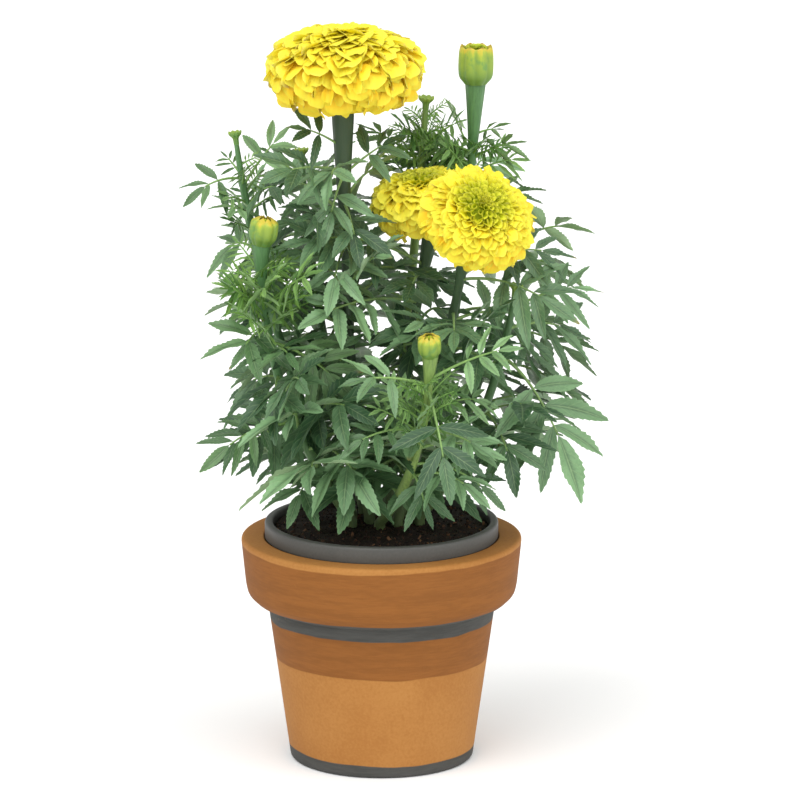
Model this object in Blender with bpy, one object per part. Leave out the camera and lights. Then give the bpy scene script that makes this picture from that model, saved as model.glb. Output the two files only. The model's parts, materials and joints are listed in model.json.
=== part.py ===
"""Potted African marigold: a clay pot, a grower's pot set in it, compost, and a bushy plant.

The plant has eleven leafy stems. Three carry a double bloom and six carry a bud.
Metres, +Z up. The origin is the middle of the clay pot's flat base, and the front faces -Y.
"""

import math
import random

import bmesh
import bpy
from mathutils import Vector
from mathutils.bvhtree import BVHTree

MM = 0.001
UP = Vector((0, 0, 1))
TURN = 2 * math.pi
GOLDEN_ANGLE = math.radians(137.508)
SHARP = math.radians(40)
GAP = 0.35 * MM  # between pieces that rest on or in each other

# Clay pot
POT_SIDES = 32
POT_HEIGHT = 114 * MM
FOOT_RADIUS = 46 * MM
FOOT_EASE = 1.6 * MM
BODY_TOP_RADIUS = 57.3 * MM
BAND_HEIGHT = 34 * MM  # the thick band round the top
BAND_LOW_RADIUS = 68.2 * MM
BAND_TOP_RADIUS = 70.5 * MM
BAND_ROUNDING = [(5, 1.6), (1, 5.5), (0, 10)]  # millimetres in from its side, and up from its underside
LIP_EASE = 1.5 * MM
MOUTH_RADIUS = 59 * MM
LEDGE_RADIUS = 51.8 * MM  # inside, level with the band's underside
FLOOR_HEIGHT = 10 * MM
FLOOR_RADIUS = 41 * MM
DRAIN_HOLES = 3
DRAIN_RADIUS = 4.5 * MM
DRAIN_SIDES = 12
DRAIN_CIRCLE = 24 * MM

# Grower's pot, standing in the clay pot with its rim proud of the clay lip
LINER_HEIGHT = 122 * MM
LINER_FOOT_RADIUS = 39.6 * MM
LINER_FLARE = 0.1515  # radius gained for each unit of height
LINER_WALL = 1.2 * MM
RIM_RADIUS = 58.6 * MM
RIM_DEPTH = 6 * MM
RIM_INNER_RADIUS = 54.6 * MM
RIM_EASE = 1 * MM

# Compost
COMPOST_SIDES = 22
COMPOST_EDGE_HEIGHT = 118 * MM
COMPOST_MOUND = 2.6 * MM
COMPOST_SHOULDER = 4 * MM
COMPOST_RINGS = 3
CLOD = 0.9 * MM

# Stems
STEM_SIDES = 6
STEM_RINGS = 6
STEM_DEPTH = 20 * MM  # how far a stem reaches into the compost
STEM_START = 123.5 * MM  # a stem is straight up to here
STEM_FOOT_RADIUS = 2.9 * MM
STEM_MIDDLE_RADIUS = 2.2 * MM
SWELLING = 38 * MM  # the length under a head where the stem thickens
SWELLING_CURVE = 1.3
RIDGE = 0.06  # how far a bud's ribs stand out, over its radius
CUP_SHAPE = [(0.12, 0.72), (0.3, 0.97), (0.62, 1.0), (0.95, 0.94), (1.0, 0.84), (0.82, 0.74)]
TUFT_SHAPE = [(0, 0.66), (0.2, 0.68), (0.24, 0.36)]  # shares of the cup's height and radius
TUFT_RIDGE = 0.09
GREEN_BUD_SHAPE = [(2, 1.9), (5, 2.1), (6, 1.2)]  # height over the neck in millimetres, and width over it

# Leaves
RIB_HALF_WIDTH = 0.9 * MM
RIB_HALF_THICKNESS = 0.8 * MM
BLADE_HALF_THICKNESS = 0.36 * MM
LEAFLET_HALF_ROOT = 1.0 * MM
LEAST_ROOT_GAP = 0.3  # a leaflet's half root takes at most this share of the space to the next
CURVE_STEPS = 8
FIRST_LEAFLET = 0.3  # share of the leaf's length that is bare stalk
LEAFLET_SLENDERNESS = 0.155  # half width over length
WIDEST = 0.42  # share of a leaflet's length at which it is widest
WIDEST_SKEW = 0.05  # the side towards the stem is widest this much sooner, and the other side later
MIDDLE_DROOP, TIP_DROOP = 0.16, 0.75  # how far a leaflet's droop takes those places down
DROOP = (0.12, 0.42)
ANGLE_SPREAD = 0.08
LIFT = (-0.1, 0.22)
SIZE_SPREAD = (0.9, 1.08)
SMALLEST_LEAFLET = 0.68
END_LEAFLET = 0.8  # length of the end leaflet, over the others
SHORTEST_ROW = 0.6  # the leaflets reach at least this share of the rib
LEAN = 0.8  # how far a leaf's face turns outwards from facing up
LEAST_TURN = 0.35  # a leaf that reaches nearly the way its face would turn faces up instead
BACK_FROM = 26 * MM  # leaves whose tips lie behind this turn to the back
LEAST_SPACING = 0.27  # from pair to pair, over the leaflets' length
ROOM_SHARE = 0.78  # of the space between two leaflets, at most this much is blade
BASE_ANGLE = math.radians(76)
END_ANGLE = math.radians(42)
ROOM = 1.1 * MM  # extra half thickness when a leaf looks for a clear place
TRIALS = 70
TRIAL_STEP = 2.3 * MM
KEPT_SHARE = 0.7  # of its leaflets that a leaf keeps at least
OWN_STEM = 2 * MM  # this near its own stem a leaf isn't tested
LEAF_START = 0.35  # how far out from the stem's middle a stalk starts, over the stem's radius

# Petals
PETAL_HALF_THICKNESS = 0.36 * MM
PETAL_ROOT = 0.55  # shares of the way from the head's centre to its surface
CORE_SHARE = 0.72
CORE_FOOT = 1.4  # the core's foot over the neck under it
CORE_LEVELS = (118, 95, 70, 45, 20)  # degrees from the axis
SEAT_DEPTH = 0.5  # where a head sits on its calyx, over its height below the widest level
CALYX_FLARE = 1.5  # the calyx's top over the neck
PETAL_HALF_FOOT = 0.34  # shares of a petal's room round its ring
PETAL_HALF_EDGE = 0.92
PETAL_CORNER = 0.96  # how far out a petal's corners are, over its middle
PETAL_REACH = (0.96, 1.03)
PETAL_WAVE = (math.radians(2), math.radians(4.5))
PETAL_LEAN = 0.02
DRIFT_CURVE = 1.4
PETAL_FILL = 0.94  # share of the room round a ring that its petals take
PETAL_DRIFT = math.radians(26)  # how far a petal leans down between root and edge
LEAST_POLAR = math.radians(9)
CORE_SIDES = 10


def v(x, y, z):
    """A point given in millimetres."""
    return Vector((x, y, z)) * MM


# Each stem, in millimetres: its foot, the bend and head of its curve, how it ends, and its neck's radius.
# Its leaves: height on the stem, where the tip reaches, arch, leaflet length and pairs of leaflets.
STEMS = {
    "tall_bloom": dict(
        foot=(-6, 1), bend=(-19, 0, 200), head=(-19, 0, 334), end="bloom", neck=6.0,
        leaves=[
            (312, (-47, -10, 324), 5, 18, 3),
            (300, (-60, -32, 300), 9, 27, 4),
            (298, (10, 4, 321), 4, 20, 3),
            (270, (-43, -34, 281), 10, 27, 3),
            (240, (5, -42, 264), 14, 28, 3),
            (184, (-80, -44, 154), 12, 32, 4),
            (156, (-19, -60, 129), 12, 33, 3),
            (262, (-21, 62, 277), 12, 26, 4),
            (218, (-41, 64, 205), 16, 30, 4),
        ],
    ),
    "left_bloom": dict(
        foot=(3, 9), bend=(14, 14, 215), head=(25, 11, 267), end="bloom", neck=4.6,
        leaves=[
            (250, (-48, -40, 263), 22, 30, 4),
            (231, (-41, -52, 231), 14, 31, 4),
            (150, (13, -46, 124), 12, 26, 3),
            (205, (25, 74, 202), 18, 30, 4),
            (176, (-3, -58, 170), 14, 29, 3),
        ],
    ),
    "right_bloom": dict(
        foot=(8, -8), bend=(38, -2, 226), head=(42, -20, 269), end="bloom", neck=4.8,
        leaves=[
            (254, (97, -10, 257), 14, 23, 3),
            (248, (98, -38, 238), 16, 28, 3),
            (212, (60, -52, 241), 6, 25, 3),
            (190, (-8, -62, 182), 12, 28, 3),
            (226, (83, 24, 214), 14, 28, 3),
        ],
    ),
    "tall_bud": dict(
        foot=(14, 14), bend=(44, 44, 215), head=(47, 38, 337), end="bud", neck=5.2,
        leaves=[
            (299, (73, 30, 309), 4, 17, 4),
            (311, (62, 46, 312), 3, 12, 3),
            (300, (33, 52, 331), 2, 16, 3),
            (288, (28, 18, 312), 6, 15, 3),
            (270, (83, 60, 270), 14, 23, 4),
            (236, (59, 94, 223), 18, 28, 4),
        ],
    ),
    "small_bud": dict(
        foot=(2, 20), bend=(15, 46, 220), head=(22, 38, 324), end="green_bud", neck=2.0,
        leaves=[
            (306, (5, 24, 319), 5, 14, 3),
            (304, (39, 18, 327), 5, 15, 3),
            (296, (-12, 30, 321), 6, 18, 4),
            (286, (11, 66, 292), 8, 20, 4),
            (246, (-5, 86, 234), 18, 28, 4),
        ],
    ),
    "left_bud": dict(
        foot=(-15, -9), bend=(-62, -30, 196), head=(-59, -27, 268), end="bud", neck=4.7,
        leaves=[
            (240, (-81, -38, 244), 6, 18, 4),
            (236, (-28, -60, 262), 7, 20, 4),
            (226, (-73, -52, 210), 10, 28, 4),
            (214, (-41, -68, 213), 12, 27, 3),
            (176, (-86, -30, 147), 16, 22, 4),
            (150, (-47, -44, 128), 14, 24, 3),
        ],
    ),
    "left_top": dict(
        foot=(-15, 8), bend=(-58, 14, 205), head=(-72, 12, 311), end="green_bud", neck=1.7,
        leaves=[
            (294, (-99, -4, 283), 9, 18, 3),
            (290, (-47, 16, 322), 5, 19, 4),
            (276, (-78, -18, 278), 8, 18, 3),
            (258, (-82, 22, 252), 10, 20, 3),
            (228, (-76, 52, 213), 15, 26, 4),
            (190, (-78, 20, 177), 16, 28, 4),
        ],
    ),
    "centre_bud": dict(
        foot=(-1, -14), bend=(22, -58, 160), head=(24, -59, 219), end="bud", neck=4.1,
        leaves=[
            (202, (36, -88, 144), 13, 32, 4),
            (207, (73, -72, 227), 7, 23, 4),
            (204, (-25, -80, 207), 10, 27, 4),
            (158, (25, -62, 128), 12, 24, 3),
            (180, (59, -74, 166), 12, 27, 3),
        ],
    ),
    "right_low": dict(
        foot=(19, -2), bend=(56, -8, 170), head=(66, -8, 238), end="green_bud", neck=1.8,
        leaves=[
            (208, (101, -22, 136), 24, 34, 4),
            (222, (105, 8, 211), 12, 28, 3),
            (231, (111, 2, 238), 12, 22, 3),
            (180, (70, -46, 143), 16, 27, 3),
            (166, (89, 36, 147), 18, 28, 4),
        ],
    ),
    "back_left": dict(
        foot=(-9, 20), bend=(-36, 44, 215), head=(-40, 46, 296), end="green_bud", neck=1.8,
        leaves=[
            (286, (-66, 58, 298), 8, 18, 4),
            (276, (-15, 78, 299), 8, 20, 4),
            (246, (-80, 70, 249), 16, 25, 4),
            (206, (-48, 98, 185), 18, 30, 4),
            (172, (-73, 46, 146), 18, 28, 4),
        ],
    ),
    "back_right": dict(
        foot=(21, 24), bend=(62, 52, 195), head=(68, 54, 268), end="green_bud", neck=1.8,
        leaves=[
            (252, (106, 34, 262), 12, 24, 4),
            (240, (83, 90, 233), 14, 26, 4),
            (208, (109, 58, 182), 18, 28, 4),
            (176, (42, 98, 163), 18, 30, 4),
            (156, (-5, 76, 144), 16, 28, 4),
        ],
    ),
}

# Blooms, in millimetres: centre, axis, radius, height above and below the widest level, and the rings of
# petals from the top: the angle from the axis at which their edges end, and how many there are.
BLOOMS = {
    "tall_bloom": dict(
        centre=(-18, 0, 350.5), axis=(0, 0, 1), radius=39, above=25, below=27,
        rings=[(20, 5), (41, 9), (61, 12), (81, 13), (101, 13), (128, 11)],
    ),
    "left_bloom": dict(
        centre=(21, 10, 281.5), axis=(-0.1, -0.06, 1), radius=25.5, above=17, below=20,
        rings=[(22, 5), (46, 8), (70, 10), (94, 11), (120, 10)],
    ),
    "right_bloom": dict(
        centre=(48, -37, 284), axis=(0.3, -0.6, 0.73), radius=30, above=18, below=20,
        rings=[(22, 6), (44, 9), (66, 11), (88, 12), (113, 11)],
    ),
}

# Open buds: axis, radius and height of the green cup.
BUDS = {
    "tall_bud": dict(axis=(0.02, 0, 1), radius=9.0, height=19.5),
    "left_bud": dict(axis=(0.16, -0.05, 1), radius=7.3, height=13.5),
    "centre_bud": dict(axis=(-0.05, -0.35, 0.93), radius=5.9, height=11.5),
}


def material(name, colour, roughness):
    made = bpy.data.materials.new(name)
    made.use_nodes = True
    shader = made.node_tree.nodes["Principled BSDF"]
    shader.inputs["Base Color"].default_value = (*colour, 1)
    shader.inputs["Roughness"].default_value = roughness
    shader.inputs["Metallic"].default_value = 0
    return made


def new_object(name, points, faces, finish):
    mesh = bpy.data.meshes.new(name)
    mesh.from_pydata([tuple(p) for p in points], [], faces)
    mesh.update()
    made = bpy.data.objects.new(name, mesh)
    made.data.materials.append(finish)
    bpy.context.scene.collection.objects.link(made)
    return made


def spun(name, profile, sides, finish):
    """A turned piece. The profile is a list of (radius, height) that starts and ends on the axis."""
    mesh = bmesh.new()
    points = [mesh.verts.new((radius, 0, height)) for radius, height in profile]
    edges = [mesh.edges.new(pair) for pair in zip(points, points[1:])]
    bmesh.ops.spin(
        mesh, geom=points + edges, cent=(0, 0, 0), axis=(0, 0, 1), angle=TURN, steps=sides, use_merge=True
    )
    bmesh.ops.remove_doubles(mesh, verts=mesh.verts, dist=1e-6)
    bmesh.ops.recalc_face_normals(mesh, faces=mesh.faces)
    data = bpy.data.meshes.new(name)
    mesh.to_mesh(data)
    mesh.free()
    data.shade_smooth()
    data.set_sharp_from_angle(angle=SHARP)
    made = bpy.data.objects.new(name, data)
    made.data.materials.append(finish)
    bpy.context.scene.collection.objects.link(made)
    return made


def settle(piece):
    """Applies the piece's modifiers."""
    bpy.context.view_layer.update()
    graph = bpy.context.evaluated_depsgraph_get()
    finished = bpy.data.meshes.new_from_object(piece.evaluated_get(graph))
    piece.modifiers.clear()
    piece.data = finished


def combine(piece, others, operation):
    """One Boolean of the piece with a collection of others, which are then removed."""
    group = bpy.data.collections.new(piece.name + "_repeats")
    bpy.context.scene.collection.children.link(group)
    for other in others:
        for home in other.users_collection:
            home.objects.unlink(other)
        group.objects.link(other)
    joint = piece.modifiers.new("combine", "BOOLEAN")
    joint.operation = operation
    joint.operand_type = "COLLECTION"
    joint.collection = group
    joint.solver = "EXACT"
    settle(piece)
    for other in others:
        bpy.data.objects.remove(other)
    bpy.data.collections.remove(group)


def slab(points, offsets, triangles):
    """A closed thin body: triangles alike on its two faces, and walls round their outline."""
    count = len(points)
    corners = [p + o for p, o in zip(points, offsets)] + [p - o for p, o in zip(points, offsets)]
    faces = list(triangles) + [(c + count, b + count, a + count) for a, b, c in triangles]
    edges = {pair for a, b, c in triangles for pair in ((a, b), (b, c), (c, a))}
    for a, b in sorted(edges):
        if (b, a) not in edges:
            faces += [(b, a, a + count), (b, a + count, b + count)]
    return corners, faces


def clay_pot(finish):
    body_top = POT_HEIGHT - BAND_HEIGHT
    profile = [
        (0, 0),
        (FOOT_RADIUS - FOOT_EASE, 0),
        (FOOT_RADIUS, FOOT_EASE),
        (BODY_TOP_RADIUS, body_top),
        *[(BAND_LOW_RADIUS - inward * MM, body_top + up * MM) for inward, up in BAND_ROUNDING],
        (BAND_TOP_RADIUS, POT_HEIGHT - LIP_EASE),
        (BAND_TOP_RADIUS - LIP_EASE, POT_HEIGHT),
        (MOUTH_RADIUS + LIP_EASE, POT_HEIGHT),
        (MOUTH_RADIUS, POT_HEIGHT - LIP_EASE),
        (LEDGE_RADIUS, body_top),
        (FLOOR_RADIUS, FLOOR_HEIGHT),
        (0, FLOOR_HEIGHT),
    ]
    pot = spun("clay_pot", profile, POT_SIDES, finish)
    drills = []
    for k in range(DRAIN_HOLES):
        angle = TURN * k / DRAIN_HOLES
        bpy.ops.mesh.primitive_cylinder_add(
            vertices=DRAIN_SIDES, radius=DRAIN_RADIUS, depth=4 * FLOOR_HEIGHT,
            location=(DRAIN_CIRCLE * math.cos(angle), DRAIN_CIRCLE * math.sin(angle), 0),
        )
        drills.append(bpy.context.object)
    combine(pot, drills, "DIFFERENCE")
    return pot


def liner_radius(height):
    """Outer radius of the grower's pot at a height above the clay pot's floor."""
    return LINER_FOOT_RADIUS + LINER_FLARE * (height - FLOOR_HEIGHT)


def grower_pot(finish):
    low = FLOOR_HEIGHT + GAP
    neck = LINER_HEIGHT - RIM_DEPTH
    profile = [
        (0, low),
        (liner_radius(low), low),
        (liner_radius(neck), neck),
        (RIM_RADIUS, neck),
        (RIM_RADIUS, LINER_HEIGHT - RIM_EASE),
        (RIM_RADIUS - RIM_EASE, LINER_HEIGHT),
        (RIM_INNER_RADIUS, LINER_HEIGHT),
        (liner_radius(neck) - LINER_WALL, neck),
        (liner_radius(low) - LINER_WALL, low + LINER_WALL),
        (0, low + LINER_WALL),
    ]
    return spun("grower_pot", profile, POT_SIDES, finish)


def compost_height(radius):
    """Top of the compost, mounded towards the middle."""
    edge = liner_radius(COMPOST_EDGE_HEIGHT)
    return COMPOST_EDGE_HEIGHT + COMPOST_MOUND * (1 - (radius / edge) ** 2)


def compost(finish):
    """A plug that fills the grower's pot, with an uneven top and a plain hole for each stem."""
    low = FLOOR_HEIGHT + LINER_WALL + 2 * GAP
    inset = LINER_WALL + 2 * GAP
    draw = random.Random("compost")
    shoulder = COMPOST_EDGE_HEIGHT - COMPOST_SHOULDER
    edge = liner_radius(shoulder) - inset
    rings = [(liner_radius(low) - inset, low), (edge, shoulder)]
    for k in range(COMPOST_RINGS):
        radius = (edge - GAP) * (1 - k / COMPOST_RINGS)
        rings.append((radius, compost_height(radius)))
    rows = []
    for radius, height in rings:
        clod = CLOD if height > shoulder else 0
        row = ring(Vector((0, 0, height)), UP, radius, COMPOST_SIDES)
        rows.append([point + UP * draw.uniform(-clod, clod) for point in row])
    plug = new_object("compost", *tube(rows), finish)
    drills = []
    for stem in STEMS.values():
        start, _ = stem_curve(stem, 0)
        ends = (start - UP * (STEM_DEPTH + GAP), start + UP * STEM_DEPTH)
        rows = [ring(end, UP, STEM_FOOT_RADIUS + GAP, STEM_SIDES) for end in ends]
        drills.append(new_object("drill", *tube(rows), finish))
    combine(plug, drills, "DIFFERENCE")
    return plug


def along(start, bend, end, share):
    """A point and a direction on the curve from start to end, pulled towards bend."""
    rest = 1 - share
    point = start * rest * rest + bend * 2 * rest * share + end * share * share
    direction = (bend - start) * 2 * rest + (end - bend) * 2 * share
    return point, direction.normalized()


def stem_curve(stem, share):
    start = v(stem["foot"][0], stem["foot"][1], STEM_START / MM)
    return along(start, v(*stem["bend"]), v(*stem["head"]), share)


def stem_radius(stem, share):
    """Thick at the foot, slim in the middle, and swollen under the head."""
    start, _ = stem_curve(stem, 0)
    length = (v(*stem["head"]) - start).length
    slim = STEM_FOOT_RADIUS + (STEM_MIDDLE_RADIUS - STEM_FOOT_RADIUS) * min(1, share * 2)
    near_head = max(0, 1 - (1 - share) * length / SWELLING)
    return slim + (stem["neck"] * MM - slim) * near_head**SWELLING_CURVE


def ring(centre, direction, radius, sides, ridge=0.0):
    """Points round a centre, first one towards +X. A ridge lifts every other point."""
    first = (Vector((1, 0, 0)) - direction * direction.x).normalized()
    second = direction.cross(first)
    points = []
    for side in range(sides):
        angle = TURN * side / sides
        reach = radius * (1 + ridge * (side % 2))
        points.append(centre + first * reach * math.cos(angle) + second * reach * math.sin(angle))
    return points


def wall(start, sides):
    """Triangles between two rows of points that follow each other, the first one's first point at start."""
    faces = []
    for side in range(sides):
        a, b = start + side, start + (side + 1) % sides
        faces += [(a, b, b + sides), (a, b + sides, a + sides)]
    return faces


def tube(rows, cup_rows=()):
    """A closed body through rows of points. Cup rows have twice as many points as the rest."""
    sides = len(rows[0])
    points = [p for row in rows for p in row]
    faces = [face for k in range(len(rows) - 1) for face in wall(k * sides, sides)]
    last, last_sides, last_row = (len(rows) - 1) * sides, sides, rows[-1]
    if cup_rows:
        cup = len(points)
        for side in range(sides):
            a, b = last + side, last + (side + 1) % sides
            c, d, e = cup + 2 * side, cup + 2 * side + 1, cup + (2 * side + 2) % (2 * sides)
            faces += [(a, d, c), (a, b, d), (b, e, d)]
        points += [p for row in cup_rows for p in row]
        for k in range(len(cup_rows) - 1):
            faces += wall(cup + k * 2 * sides, 2 * sides)
        last_sides, last_row = 2 * sides, cup_rows[-1]
        last = len(points) - last_sides
    points += [sum(rows[0], Vector()) / sides, sum(last_row, Vector()) / last_sides]
    for side in range(sides):
        faces.append((len(points) - 2, (side + 1) % sides, side))
    for side in range(last_sides):
        faces.append((len(points) - 1, last + side, last + (side + 1) % last_sides))
    return points, faces


def head_rows(name, stem):
    """Rows of points above the neck: a calyx under a bloom, an open cup, or a closed green bud."""
    head, direction = stem_curve(stem, 1)
    neck = stem["neck"] * MM
    if stem["end"] == "bloom":
        bloom = BLOOMS[name]
        axis = Vector(bloom["axis"]).normalized()
        seat = v(*bloom["centre"]) - axis * bloom["below"] * SEAT_DEPTH * MM
        middle = seat - axis * (seat - head).length / 2
        return [
            ring(middle, axis, neck * (1 + CALYX_FLARE) / 2, STEM_SIDES),
            ring(seat, axis, neck * CALYX_FLARE, STEM_SIDES),
        ]
    if stem["end"] == "bud":
        bud = BUDS[name]
        axis = Vector(bud["axis"]).normalized()
        wide, tall = bud["radius"] * MM, bud["height"] * MM
        return [
            ring(head + axis * tall * height, axis, wide * width, STEM_SIDES * 2, RIDGE)
            for height, width in CUP_SHAPE
        ]
    return [
        ring(head + direction * height * MM, direction, neck * width, STEM_SIDES)
        for height, width in GREEN_BUD_SHAPE
    ]


def stem_body(name, stem):
    """The stem from the bottom of its hole to the top of its head."""
    start, _ = stem_curve(stem, 0)
    rows = [
        ring(start - UP * STEM_DEPTH, UP, STEM_FOOT_RADIUS, STEM_SIDES),
        ring(start, UP, STEM_FOOT_RADIUS, STEM_SIDES),
    ]
    for k in range(1, STEM_RINGS + 1):
        share = k / STEM_RINGS
        point, direction = stem_curve(stem, share)
        rows.append(ring(point, direction, stem_radius(stem, share), STEM_SIDES))
    if stem["end"] == "bud":
        return tube(rows, head_rows(name, stem))
    return tube(rows + head_rows(name, stem))


def stem_at(stem, height):
    """The point, direction and radius of a stem where it reaches a height."""
    low, high = 0.0, 1.0
    for _ in range(30):
        middle = (low + high) / 2
        point, direction = stem_curve(stem, middle)
        low, high = (middle, high) if point.z < height else (low, middle)
    return point, direction, stem_radius(stem, middle)


class Leaf:
    """A pinnate leaf: a stalk and rib that arch from the stem to the tip, with pairs of leaflets."""

    def __init__(self, base, tip, arch, leaflet, pairs, seed):
        self.base, self.tip, self.leaflet = base, tip, leaflet
        self.bend = (base + tip) / 2 + UP * arch
        reach = (tip - base).normalized()
        outside = Vector((0, -1 if tip.y < BACK_FROM else 1, 0))
        self.across = reach.cross((UP + outside * LEAN).normalized())
        if self.across.length < LEAST_TURN:
            self.across = reach.cross(UP)
        self.across.normalize()
        places = [self.at(k / CURVE_STEPS)[0] for k in range(CURVE_STEPS + 1)]
        self.length = sum((b - a).length for a, b in zip(places, places[1:]))
        self.end = max(SHORTEST_ROW, 1 - END_LEAFLET * leaflet / self.length)
        row = (self.end - FIRST_LEAFLET) * self.length
        self.pairs = max(2, min(pairs, round(row / (leaflet * LEAST_SPACING))))
        self.spacing = row / self.pairs
        self.seed = seed
        self.kept = set(range(2 * self.pairs))

    def at(self, share):
        return along(self.base, self.bend, self.tip, share)

    def frame(self, share):
        """The point on the rib, its direction, the one across the leaf and the one out of its face."""
        point, direction = self.at(share)
        return point, direction, self.across, self.across.cross(direction).normalized()

    def leaflets(self):
        """Each leaflet's share of the rib, side, direction, length and droop, the end leaflet last."""
        draw = random.Random(self.seed)
        found = []
        for k in range(self.pairs):
            share = FIRST_LEAFLET + (self.end - FIRST_LEAFLET) * (k + 0.55) / self.pairs
            angle = BASE_ANGLE + (END_ANGLE - BASE_ANGLE) * k / max(1, self.pairs - 1)
            swell = math.sin(math.pi * (k + 0.9) / (self.pairs + 0.6))
            size = self.leaflet * (SMALLEST_LEAFLET + (1 - SMALLEST_LEAFLET) * swell)
            _, direction, across, face = self.frame(share)
            for side in (1, -1):
                turn = angle + draw.uniform(-ANGLE_SPREAD, ANGLE_SPREAD)
                lift = draw.uniform(*LIFT)
                aim = direction * math.cos(turn) + across * side * math.sin(turn) + face * lift
                size_here = size * draw.uniform(*SIZE_SPREAD)
                found.append((share, side, aim.normalized(), size_here, draw.uniform(*DROOP)))
        return found

    def body(self, kept=None, stalk_from=0.0, extra=0.0):
        """The leaf with the kept leaflets, from a share of its stalk on, made thicker by extra."""
        points, offsets, triangles = [], [], []

        def add(point, normal, half_thickness):
            points.append(point)
            offsets.append(normal * (half_thickness + extra))
            return len(points) - 1

        def station(share, half_width):
            point, _, across, face = self.frame(share)
            return (
                add(point - across * half_width, face, RIB_HALF_THICKNESS),
                add(point + across * half_width, face, RIB_HALF_THICKNESS),
            )

        def bridge(low, high):
            triangles.extend([(low[0], low[1], high[1]), (low[0], high[1], high[0])])

        def blade(near, far, root, aim, across, face, size, droop, side):
            """A leaflet from the rib's edge between near and far."""
            width = min(size * LEAFLET_SLENDERNESS, room)
            middle = root + aim * size * WIDEST - UP * droop * size * MIDDLE_DROOP
            tip = root + aim * size - UP * droop * size * TIP_DROOP
            to_side = across * width + aim * size * WIDEST_SKEW
            low = add(middle - to_side, face, BLADE_HALF_THICKNESS)
            high = add(middle + to_side, face, BLADE_HALF_THICKNESS)
            end = add(tip, face, BLADE_HALF_THICKNESS)
            fan = [(near, low, high), (near, high, far), (low, end, high)]
            triangles.extend(fan if side > 0 else [(c, b, a) for a, b, c in fan])

        last = station(stalk_from, RIB_HALF_WIDTH * 1.3)
        step = min(LEAFLET_HALF_ROOT, self.spacing * LEAST_ROOT_GAP) / self.length
        listed = self.leaflets()
        parting = (BASE_ANGLE - END_ANGLE) / max(1, self.pairs - 1)
        apart = self.spacing * math.sin((BASE_ANGLE + END_ANGLE) / 2) + WIDEST * self.leaflet * parting
        room = ROOM_SHARE * apart / 2
        for pair in range(self.pairs):
            share = listed[2 * pair][0]
            near = station(share - step, RIB_HALF_WIDTH)
            far = station(share + step, RIB_HALF_WIDTH)
            bridge(last, near)
            bridge(near, far)
            for which in (2 * pair, 2 * pair + 1):
                if which not in (self.kept if kept is None else kept):
                    continue
                _, side, aim, size, droop = listed[which]
                point, direction, across, face = self.frame(share)
                root = point + across * side * RIB_HALF_WIDTH
                spread = (direction - aim * direction.dot(aim)).normalized()
                edge = 1 if side > 0 else 0
                blade(near[edge], far[edge], root, aim, spread, face, size, droop, side)
            last = far
        end = station(self.end, RIB_HALF_WIDTH)
        bridge(last, end)
        point, direction, across, face = self.frame((self.end + 1) / 2)
        width = self.leaflet * LEAFLET_SLENDERNESS
        left = add(point - across * width, face, BLADE_HALF_THICKNESS)
        right = add(point + across * width, face, BLADE_HALF_THICKNESS)
        point, _, _, face = self.frame(1)
        tip = add(point, face, BLADE_HALF_THICKNESS)
        triangles.extend([(end[0], end[1], right), (end[0], right, left), (left, right, tip)])
        return slab(points, offsets, triangles)


def tree_of(body):
    points, faces = body
    return BVHTree.FromPolygons([tuple(p) for p in points], faces, epsilon=0)


def trial_tips(base, tip):
    """The wished tip, then places ever further round it, across the leaf's direction."""
    reach = (tip - base).normalized()
    side = reach.cross(UP).normalized()
    rise = side.cross(reach).normalized()
    for k in range(TRIALS):
        angle, step = k * GOLDEN_ANGLE, TRIAL_STEP * math.sqrt(k)
        yield tip + side * step * math.cos(angle) + rise * step * math.sin(angle)


def clear_leaf(stem, wish, seed, obstacles):
    """The first leaf round the wished tip whose rib and most leaflets cross nothing, or None."""
    height, tip, arch, leaflet, pairs = wish
    point, _, radius = stem_at(stem, height * MM)
    wished = v(*tip)
    base = point + (wished - point).normalized() * radius * LEAF_START
    for place in trial_tips(base, wished):
        leaf = Leaf(base, place, arch * MM, leaflet * MM, pairs, seed)
        bare = (radius + OWN_STEM) / leaf.length

        def is_clear(kept):
            tree = tree_of(leaf.body(kept, bare, ROOM))
            return not any(tree.overlap(other) for other in obstacles)

        if is_clear(()):
            leaf.kept = {which for which in leaf.kept if is_clear((which,))}
            if len(leaf.kept) >= KEPT_SHARE * 2 * leaf.pairs:
                return leaf
    return None


def head_point(bloom, polar, turn, share):
    """A place in a bloom: polar angle from its axis, turn round it, and share of the way out."""
    axis = Vector(bloom["axis"]).normalized()
    first = (Vector((1, 0, 0)) - axis * axis.x).normalized()
    second = axis.cross(first)
    height = (bloom["above"] if polar < math.pi / 2 else bloom["below"]) * MM
    around = first * math.cos(turn) + second * math.sin(turn)
    return (
        v(*bloom["centre"])
        + around * bloom["radius"] * MM * share * math.sin(polar)
        + axis * height * share * math.cos(polar)
    )


def bloom_core(name, bloom):
    """A smooth low-sided core that sits on the calyx, with the petals standing out of it."""
    axis = Vector(bloom["axis"]).normalized()
    neck = STEMS[name]["neck"] * MM
    seat = v(*bloom["centre"]) - axis * (bloom["below"] * SEAT_DEPTH * MM - GAP)
    rows = [ring(seat, axis, neck * CORE_FOOT, CORE_SIDES)]
    for polar in CORE_LEVELS:
        rows.append(
            [
                head_point(bloom, math.radians(polar), TURN * side / CORE_SIDES, CORE_SHARE)
                for side in range(CORE_SIDES)
            ]
        )
    return tube(rows)


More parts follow.
